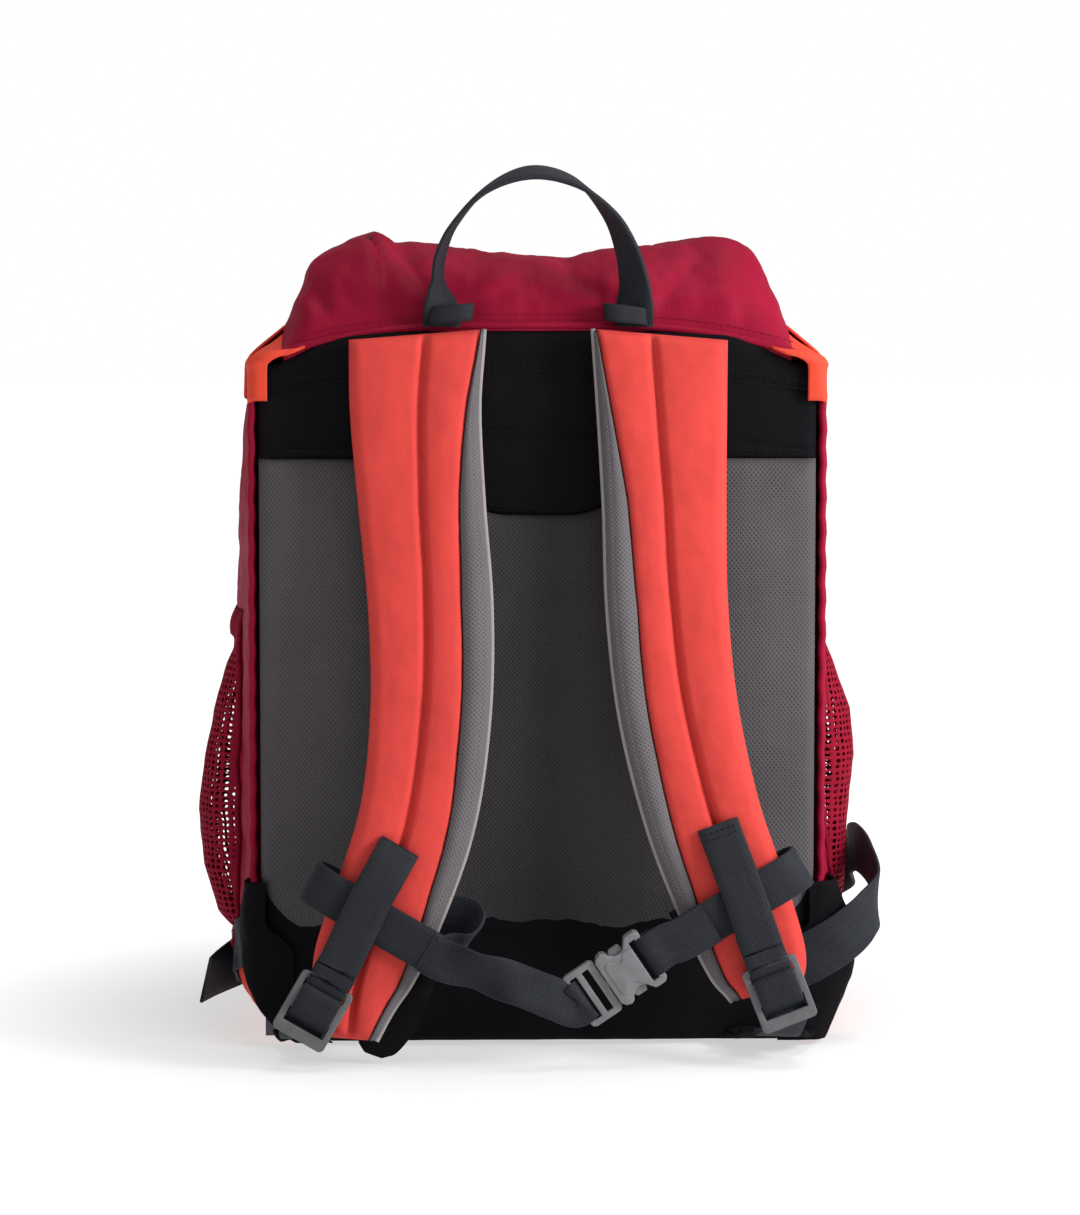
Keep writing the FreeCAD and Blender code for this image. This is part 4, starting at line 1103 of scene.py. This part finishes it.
def make_skirts():
    """The orange skirt: round the lid's sides and front on the lid, and its rear corners on the pack."""
    count = 240
    inner = skirt_path(HOOD_HALF, HOOD_FRONT, HOOD_CORNER, -56, count)
    outer = skirt_path(140.2, 90.5, 36, -56, count)
    rows = []
    for t in np.linspace(0, 1, 24):
        flare, fall, hang = skirt_profile(t)
        x = inner[0] + (outer[0] - inner[0]) * flare
        y = inner[1] + (outer[1] - inner[1]) * flare
        hem = 313 - 15 * smooth_step(60, 86, outer[1])
        rows.append(stacked(x, y, HOOD_SEAM + 0.5 - 18.5 * fall - (328 - hem) * hang))
    rows = np.array(rows)
    ripple = 1.5 * hills(rows * (1, 1, 0.35), 26, 21) + 0.5 * hills(rows, 9, 22)
    rows = rows + grid_normals(rows) * (ripple * np.linspace(0, 1, 24)[:, None])[..., None]
    skirt = shell("lid_skirt_cloth", rows, 1.4)
    finish_piece(skirt, "orange_cloth", "lid", ("left_lid_skirt", "right_lid_skirt", "lid_front_skirt"))
    tube("lid_skirt_hem", rows[-1], 1.3, "orange_cloth", "lid", count=200)

    for side, sign in SIDES:
        low = catmull([(129.0, -93.0, 0), (134.5, -93.0, 0), (138.0, -90, 0), (139, -80, 0), (138.2, -66, 0),
                       (137.4, -46, 0)], 46)
        top = catmull([(111, -92.0, 0), (117, -91.8, 0), (121, -89.0, 0), (121.2, -80, 0), (120.8, -66, 0),
                       (120.2, -46, 0)], 46)
        rows = []
        for t in np.linspace(0, 1, 20):
            flare, fall, hang = skirt_profile(t)
            plane = top + (low - top) * flare
            start = HOOD_SEAM + 0.5 - seam_drop(plane[:, 0], plane[:, 1]) * (1 - 0.4 * flare)
            bend = 327.5 + 1.2 * np.sin(plane[:, 1] / 9)
            hem = 312 + 1.6 * np.sin(plane[:, 1] / 6)
            z = start - (start - bend) * fall - (bend - hem) * hang
            rows.append(stacked(plane[:, 0] * sign, plane[:, 1], z))
        rows = np.array(rows)
        down = np.linspace(0, 1, 20)[:, None]
        full = 1.0 * hills(rows * (1, 1, 0.35), 22, 23 + sign) * down
        puff = 3.4 * np.sin(np.pi * np.clip(down / 0.6, 0, 1))
        full = full + puff * (1 - smooth_step(-70, -52, rows[..., 1]))
        rows = rows + grid_normals(rows, sign < 0) * full[..., None]
        corner = shell(f"{side}_lid_corner_cloth", rows, 1.4, flip=sign < 0)
        finish_piece(corner, "orange_cloth", "pack", (f"{side}_lid_corner",))

    for node in ("lid_hook_patch", "front_loop_patch"):
        paint(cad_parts[node], "hook_loop")


# ---- shoulder pads ----------------------------------------------------------------------------

LEFT_PAD = [(-58, -99, 345, 64), (-59, -103, 308, 61), (-56, -108, 262, 59), (-52, -114, 214, 58),
            (-52, -120, 166, 56), (-58, -126, 118, 54), (-71, -131, 78, 52), (-85, -135, 42, 46),
            (-88, -138, 13, 21)]
RIGHT_PAD = [(58, -99, 345, 64), (59, -103, 308, 61), (60, -108, 262, 58), (61, -114, 214, 57),
             (66, -120, 166, 56), (77, -126, 118, 54), (91, -131, 79, 52), (103, -135, 48, 46),
             (107, -137, 34, 34)]
FACE, LINER = 6.4, 4.8
TURNED = [(0, 1.5), (30, 5), (80, 11), (130, 14), (200, 13), (260, 10), (310, 5), (360, 3)]


class PadLine:
    """The smooth middle line of a shoulder pad, with the direction across it and its width."""

    def __init__(self, stops, inner, count=130):
        rows = catmull(stops, count)
        self.inner = inner
        self.count = count
        self.place = rows[:, :3]
        self.width = rows[:, 3]
        tangent = unit(np.gradient(self.place, axis=0))
        self.side = unit(stacked(-tangent[:, 2], 0, tangent[:, 0]))
        self.normal = unit(np.cross(tangent, self.side))
        self.run = np.linspace(0, path_length(self.place), count)
        self.turned = np.interp(self.run, *zip(*TURNED))

    def point(self, across, out):
        """Points across the pad, in millimetres from its outer edge, at heights off its middle."""
        shift = (across - self.width[:, None] / 2) * self.inner
        points = (self.place[:, None] + self.side[:, None] * shift[..., None]
                  + self.normal[:, None] * out[..., None])
        points[..., 2] += 7 * (across / self.width[:, None] - 0.75) * np.exp(-self.run[:, None] / 16)
        return points


def make_pad(side, stops, inner):
    """A shoulder pad: crowned face with a sewn channel, mesh liner turned round its edge, and its tape."""
    line = PadLine(stops, inner)
    width = line.width[:, None]
    run = line.run[:, None]
    ends = rounded_edge(np.minimum(run, line.run[-1] - run), 6)
    u = np.linspace(0, 1, 44)[None, :]
    face_width = width - line.turned[:, None]
    across = u * face_width
    channel = 0.58 * face_width + 2.0 * np.sin(run / 60)
    spot = line.point(across, 0 * across)
    profile = rounded_edge(across, 6) * (0.62 + 0.38 * rounded_edge(face_width - across, 4))
    groove = np.exp(-((across - channel) / 1.7) ** 2)
    lobes = 0.13 * np.sin(np.pi * np.clip(across / channel, 0, 1)) ** 2
    lobes = lobes + 0.10 * np.sin(np.pi * np.clip((across - channel) / (face_width - channel), 0, 1)) ** 2
    folds = hills(spot * (1, 1, 1), 20, 31 + inner) * 0.10 + hills(spot * (0.5, 1, 1.8), 9, 33 + inner) * 0.05
    high = FACE * ends * profile * (1 + lobes + folds) * (1 - 0.62 * groove) + 0.2
    front = line.point(across + 0 * run, high)
    back = line.point(across + 0 * run, 0.1 + 0 * high)
    piece = closed_form(f"{side}_pad_face_cloth", front, back, flip=inner < 0)
    rim = np.minimum.reduce([across, face_width - across, run + 0 * across, line.run[-1] - run + 0 * across])
    puffed(piece, np.maximum(1 - smooth_step(0.5, 5, rim), groove), 2.2)
    finish_piece(piece, "coral_face", f"shoulder_{side}", (f"{side}_pad_face",))

    t = np.linspace(0, 1, 12)
    wrap = []
    for k in range(line.count):
        w = line.width[k]
        seam = w - line.turned[k]
        nose = min(4.5, line.turned[k] * 0.6)
        top = FACE * 0.92
        ring = [(seam + 0.3, 0.3), (seam + 0.4, top * 0.75), (seam + 0.8, top), (w - nose - 0.3, top + 0.3)]
        ring += [(w - nose + nose * math.sin(a), top * 0.5 - LINER * 0.5 + (top + LINER) / 2 * math.cos(a))
                 for a in t * math.pi]
        ring += [(w * 0.62, -LINER - 0.4), (w * 0.3, -LINER - 0.4), (5, -LINER), (1.4, -LINER * 0.7),
                 (0.2, -LINER * 0.3), (0.6, -0.2), (w * 0.3, -0.1), (w * 0.6, -0.1)]
        wrap.append(ring)
    wrap = np.array(wrap)
    small = ends * 0.92 + 0.08
    ripple = hills(line.point(wrap[..., 0], wrap[..., 1]), 14, 37 + inner) * 0.35
    rings = line.point(wrap[..., 0], (wrap[..., 1] + ripple) * small)
    faces = ring_faces(line.count, wrap.shape[1])
    if inner < 0:
        faces = [f[::-1] for f in faces]
    girth = running(rings[line.count // 2])
    uvs = np.stack(np.meshgrid(line.run, girth, indexing="ij"), axis=2).reshape(-1, 2) * 0.001
    piece = new_object(f"{side}_pad_liner_mesh", rings.reshape(-1, 3), faces, uvs)
    finish_piece(piece, "liner_mesh", f"shoulder_{side}", (f"{side}_pad_liner",))

    edge = line.point(width + 0.2, 0.5 + 0 * width)[:, 0]
    tube(f"{side}_pad_tape", edge, 1.25, "edge_tape", f"shoulder_{side}", count=120)
    rows = []
    for spot_at, lift in ((face_width - 2.2, FACE * 0.9), (channel, FACE * 0.48)):
        path = line.point(spot_at + 0 * width, lift * ends)[4:-4, 0]
        rows.append((path[::2], OUTWARD))
    stitches(f"{side}_pad_stitching", rows, "coral_thread", f"shoulder_{side}", 2.8, 2.0, 0.45)


# ---- fittings and webbing ---------------------------------------------------------------------

LOCKS = {"left": placed((-99, -147.5, 42), (-0.5, -0.06, -0.86), (0, -1, 0)),
         "right": placed((106, -147.5, 50), (0.36, -0.06, -0.93), (0, -1, 0))}
STERNUM = placed((31, -143, 40), (0.83, 0, 0.56), (0, -1, 0))
BELT_BUCKLE = placed((0, REACH + 5.5, 25), (1, 0, 0), (0, 1, 0))


def at(matrix, along, across, out):
    """A point in a fitting's own directions."""
    return tuple(matrix @ Vector((along, across, out)))


def facing(matrix, toward):
    """The direction across a fitting, turned round if it points away from another direction."""
    across = matrix.to_3x3() @ Vector((0, 1, 0))
    return tuple(across) if across.dot(Vector(toward)) >= 0 else tuple(-across)


def threaded(matrix, across, turns):
    """Stops of webbing through a fitting, each turn a place along it and a height off its middle."""
    return [(at(matrix, along, 0, out), across) for along, out in turns]


# the strip sewn down each pad, then the chest loop round it
LEFT_WEBBING = ([(-66, -136.5, 104), (-72, -143, 94), (-82, -146, 76), (-98, -147, 44)],
                [(-48, -144, 53), (-75, -142.8, 68.5), (-98, -141, 82), (-107, -136, 87), (-108, -129, 87.5),
                 (-101, -122.5, 83.5), (-70, -122, 66), (-44, -121, 68), (-33, -126, 66), (-36, -136, 56),
                 (-48, -142, 53)])
RIGHT_WEBBING = ([(83, -136, 114), (94, -144.5, 84), (105, -147, 53)],
                 [(66, -143.5, 61), (92, -142.2, 76), (114, -140.5, 88.5), (122, -136, 93),
                  (123, -129, 93.5), (117, -122.5, 90), (90, -122, 75), (66, -122, 61)])

HALF_BODY = [(0.4, 11.0), (2.0, 13.2), (4.6, 14.0), (6.4, 13.2), (7.8, 10.8), (10.0, 9.3), (12.6, 9.0),
             (15.0, 9.8), (16.6, 12.0), (18.0, 13.8), (20.0, 14.2), (23.6, 14.0), (25.2, 12.6)]
BUCKLE_BODY = HALF_BODY + [(x, -y) for x, y in HALF_BODY[::-1]]
BUCKLE_THICK = 9
BUCKLE_SLOT = [(18.8, 10.6), (22.2, 10.6), (22.2, -10.6), (18.8, -10.6)]


def make_fittings():
    """Ladder locks and side-release buckles, with rounded moulded edges."""
    for side in ("left", "right"):
        softened(f"{side}_ladder_lock_moulding", f"{side}_ladder_lock", "lock_plastic", f"lock_{side}", 0.9)
    rib = [(3.2 + 0.62 * (x - 0.4), 0.62 * y) for x, y in BUCKLE_BODY]
    for prefix, spot, female in (("sternum", STERNUM, "shoulder_right"), ("belt", BELT_BUCKLE, "pack")):
        softened(f"{prefix}_buckle_male_moulding", f"{prefix}_buckle_male", "moulded_plastic",
                 f"{prefix}_male", 0.8)
        plate(f"{prefix}_buckle_female_moulding", BUCKLE_BODY, [BUCKLE_SLOT], BUCKLE_THICK, spot, 1.3, female,
              (f"{prefix}_buckle_female",))
        on_face = spot @ Matrix.Translation((0, 0, BUCKLE_THICK / 2))
        plate(f"{prefix}_buckle_rib", rib, [], 0.9, on_face, 0.35, female)
        for side in ("left", "right"):
            softened(f"{prefix}_{side}_prong_moulding", f"{prefix}_buckle_{side}_prong", "moulded_plastic",
                     f"{prefix}_prong_{side}", 0.5)


def make_harness_webbing(side, strip, loop):
    """The webbing sewn down a pad, the chest loop round it, and the webbing from the base to the lock."""
    lock = LOCKS[side]
    body = f"shoulder_{side}"
    run = np.array(strip[-1]) - np.array(strip[0])
    across = (-run[2], 0, run[0])
    lock_across = facing(lock, across)
    path = [(p, across) for p in strip[:-1]]
    path += threaded(lock, lock_across, [(-7, 3.2), (0.5, 3.1), (3.6, 2.4), (4.9, 0), (3.6, -2.6), (-1, -3.0),
                                         (-16, -2.2)])
    strap(f"{side}_sewn_strip", path, body, (f"{side}_sewn_webbing",), count=90, cup=0.25,
          across=(body, f"lock_{side}", metres(at(lock, -16, 0, 3.2)), metres(at(lock, -3, 0, 3.2))))

    out = np.array(loop[1]) - np.array(loop[0])
    across = (-out[2], 0, out[0])
    path = [(p, across) for p in loop]
    strap(f"{side}_chest_loop", path, body, (f"{side}_sternum_loop",), count=110, cup=0.2)

    sign = -1 if side == "left" else 1
    level = (1 if lock_across[0] >= 0 else -1, 0, 0)
    path = [(place, level) for place in ((sign * 113, -113.5, 11), (sign * 112, -116.5, 12),
                                         (sign * 113, -131, 13))]
    path += threaded(lock, lock_across, [(28, -3.2), (24, -3), (21.6, 0), (18.6, 3), (12.5, 3.4), (7, 3),
                                         (4.9, -0.4), (9, -3.2), (17, -3.8)])
    strap(f"{side}_base_strap", path, "pack", (f"{side}_lower_webbing",), count=100,
          across=("pack", body, (0, -0.119, 0.012), (0, -0.142, 0.026)))

    rows = []
    first, second = np.array(strip[0], float), np.array(strip[1], float)
    axis = unit(second - first)
    flat = unit(np.array((-run[2], 0, run[0]), float))
    for k in (3, 6):
        middle = first + axis * k + np.array((0, -1.3, 0))
        rows.append((np.array([middle - flat * 8, middle, middle + flat * 8]), OUTWARD))
    stitches(f"{side}_strip_stitches", rows, "dark_thread", body, 2.6, 2.0, 0.5)
    make_wing(side, sign)


def make_wing(side, sign):
    """The doubled triangle of cloth between the base seam and the strap's foot."""
    rows = []
    for t in np.linspace(0, 1, 20):
        half = ((15 if sign < 0 else 22) - 7 * t) * (1 + 0.02 * math.sin(9 * t))
        centre = np.array([sign * (113 - 2 * t), -88.6 - 28.4 * t, 7 + 5 * t - 3 * math.sin(math.pi * t)])
        x = np.linspace(-half, half, 22)
        z = centre[2] + 1.2 * np.cos(np.pi * x / half / 2) - 1.2 + 0.4 * np.sin(x / 3 + 5 * t)
        rows.append(np.stack([centre[0] + x, np.full(22, centre[1]), np.maximum(z, 1.6)], axis=-1))
    finish_piece(shell(f"{side}_wing_cloth", np.array(rows), 2.2, flip=True), "black_cloth", "pack",
                 (f"{side}_anchor_wing",))


def make_chest_strap():
    """The webbing from the left chest loop to the buckle, and from the buckle to the right loop."""
    up = facing(STERNUM, UP)
    path = [((-54, -144.5, 56), (0.45, 0.05, 0.9)), ((-46, -145.5, 51.5), (0.40, 0.1, 0.9)),
            ((-30, -146.5, 46.5), (0.12, -0.40, 0.9)), ((-12, -149, 41), (-0.10, 0.36, 0.95)),
            ((3, -148.5, 35), (-0.3, 0.2, 0.95))]
    path += threaded(STERNUM, up, [(-18.5, 3.4), (-14.0, 3.0), (-12.3, 0), (-14.4, -3.0), (-22, -3.4)])
    strap("left_chest_webbing", path, "shoulder_left", ("left_sternum_webbing",), count=120,
          across=("shoulder_left", "sternum_male", (-0.038, -0.146, 0.046), (0.010, -0.146, 0.032)))
    path = threaded(STERNUM, up, [(30, -3.2), (26, -3.6), (22.4, -1.6), (22.0, 2.4), (25, 5.0), (33, 3.6)])
    path += [((67, -146.0, 61.5), (-0.5, 0, 0.87)), ((80, -145.0, 69.0), (-0.5, 0, 0.87))]
    strap("right_chest_webbing", path, "shoulder_right", ("right_sternum_webbing",), count=90)


def make_dark_strip():
    """A black strip under the left pad's lower end, which shows past its inner edge as a dark band."""
    places = [(-52, -125.5, 68, 16), (-60, -127, 48, 25), (-70, -129.2, 24, 27), (-77, -130.4, 9, 20),
              (-79, -130.6, 4, 9)]
    rows = [(x, y, z, 0.92, 0, -0.4, width) for x, y, z, width in places]
    finish_piece(sweep("left_pad_dark_strip", rows, flat_section(2.2, 0.4), 50), "black_cloth", "shoulder_left")


def make_handle():
    """The grab handle, a webbing arch on edge that twists at its feet, and its sewn feet."""
    path = [((-46, -91.5, 347), (1, 0.0, 0)), ((-46, -92.5, 353), (1, 0.15, 0)),
            ((-46.5, -92, 360), (0.75, 0.65, 0)), ((-47.5, -91, 369), (0.28, 1, 0)),
            ((-46.5, -91, 380), (0.22, 1, 0.05)), ((-40, -91, 395), (0.15, 1, 0.1)),
            ((-24, -91, 412), (0.12, 1, 0.2)), ((-3, -91, 420), (0, 1, 0.32)),
            ((18, -91, 415), (-0.1, 1, 0.25)), ((34, -91, 400), (-0.3, 1, 0.0)),
            ((42, -91, 384), (-0.62, 1, 0)), ((45.5, -91.5, 369), (-0.9, 0.9, 0)),
            ((46, -92.5, 357), (-1, 0.35, 0)), ((46, -91.5, 347), (-1, 0, 0))]
    strap("handle_webbing", path, "handle", ("grab_handle",), 18, 150, 0.5,
          ("pack", "handle", (0, -0.091, 0.352), (0, -0.091, 0.370)), 2.4)
    for side, sign in SIDES:
        roll = [(-12, -90.2), (-2, -89.9), (5.5, -91.4), (6.5, -94.4), (1, -96.6), (-8, -97.4), (-14, -95.6),
                (-13.6, -92.9), (-7, -92.3), (0, -93.2)]
        fold = [((sign * (45 + 0.9 * x), y, 352.5 - 0.1 * x), (-0.1 * sign, 0, 1)) for x, y in roll]
        strap(f"{side}_handle_foot", fold, "pack", (f"{side}_handle_tab",), 8.5, 90, 0.2)


def around_sack(first, last, heights, off, count):
    """Stops of a strap that lies on the sack's cloth, between two distances round it."""
    s = np.linspace(first, last, count)
    z = np.interp(np.linspace(0, 1, count), *zip(*heights))
    low = sack_points(s, z - 9)
    high = sack_points(s, z + 9)
    x, y, out_x, out_y = perimeter(s)
    centre = (low + high) / 2 + np.stack([out_x, out_y, 0 * s], axis=-1) * off
    up = unit(high - low)
    return [(tuple(c), tuple(d)) for c, d in zip(centre, up)]


def make_belt():
    """The waist webbing: round the left side under the pocket, a slack loop on the right, and its tail."""
    front_left = SIDE + ARC
    left = around_sack(1, front_left + 50, [(0, 54), (0.12, 44), (0.3, 26), (1, 25)], 1.6, 70)
    strap("left_waist_webbing", left, "pack", ("left_belt_webbing",), BELT, 120)
    end = [(left[-1][0], UP), ((-38, 96, 25), UP)]
    turns = [(-19, 4.2), (-14.2, 3.4), (-12.4, 0), (-14.4, -2.6), (-20, -2.2)]
    end += threaded(BELT_BUCKLE, facing(BELT_BUCKLE, UP), turns)
    strap("left_waist_end", end, "pack", ("left_belt_end",), 22, 70,
          across=("pack", "belt_male", (-0.044, 0.09, 0.025), (-0.020, 0.09, 0.025)))
    right = [((119, -93.2, 37), (-0.4, -0.05, 0.9)), ((134, -94, 44.5), (-0.4, -0.1, 0.9)),
             ((148, -92.5, 53), (-0.4, -0.2, 0.9)), ((159, -87, 62), (-0.2, -0.2, 1)),
             ((165.5, -76, 70), (0.05, 0.1, 1)), ((165.5, -54, 81), (-0.06, 0.2, 1)),
             ((164.5, -20, 84), (-0.05, 0, 1)), ((164, 20, 80), (-0.05, -0.2, 1)),
             ((161, 46, 66), (-0.05, -0.25, 1))]
    front_right = SIDE + ARC + FRONT
    right += around_sack(front_right + 34, front_right - 62, [(0, 46), (0.3, 36), (1, 26)], 1.6, 40)
    right += threaded(BELT_BUCKLE, UP, [(30, 2), (25, 4.4), (22.2, 1.5), (24, -2.4), (31, -2.8)])
    strap("right_waist_webbing", right, "pack", ("right_belt_webbing",), BELT, 220)
    tail = [((-143, 5, 28), UP), ((-149, -10, 28), (0, 0.1, 1)), ((-157, -32, 27), (0.2, 0.1, 1)),
            ((-163, -47, 25), (0.35, 0.1, 1))]
    strap("waist_tail", tail, "pack", ("belt_tail",), BELT, 50)


make_stage()
make_camera()
make_sack()
make_collar()
make_back()
for side, sign in SIDES:
    make_pocket(side, sign)
make_hood()
make_pad("left", LEFT_PAD, 1)
make_pad("right", RIGHT_PAD, -1)
make_fittings()
make_harness_webbing("left", *LEFT_WEBBING)
make_harness_webbing("right", *RIGHT_WEBBING)
make_chest_strap()
make_dark_strip()
make_handle()
make_belt()
make_fin("left", -1, 3, 0.9)
# the right fin's wide flare covers the shaded foot of the right side in black: a dark sheet as painted shade
make_fin("right", 1, 14, 0.1)
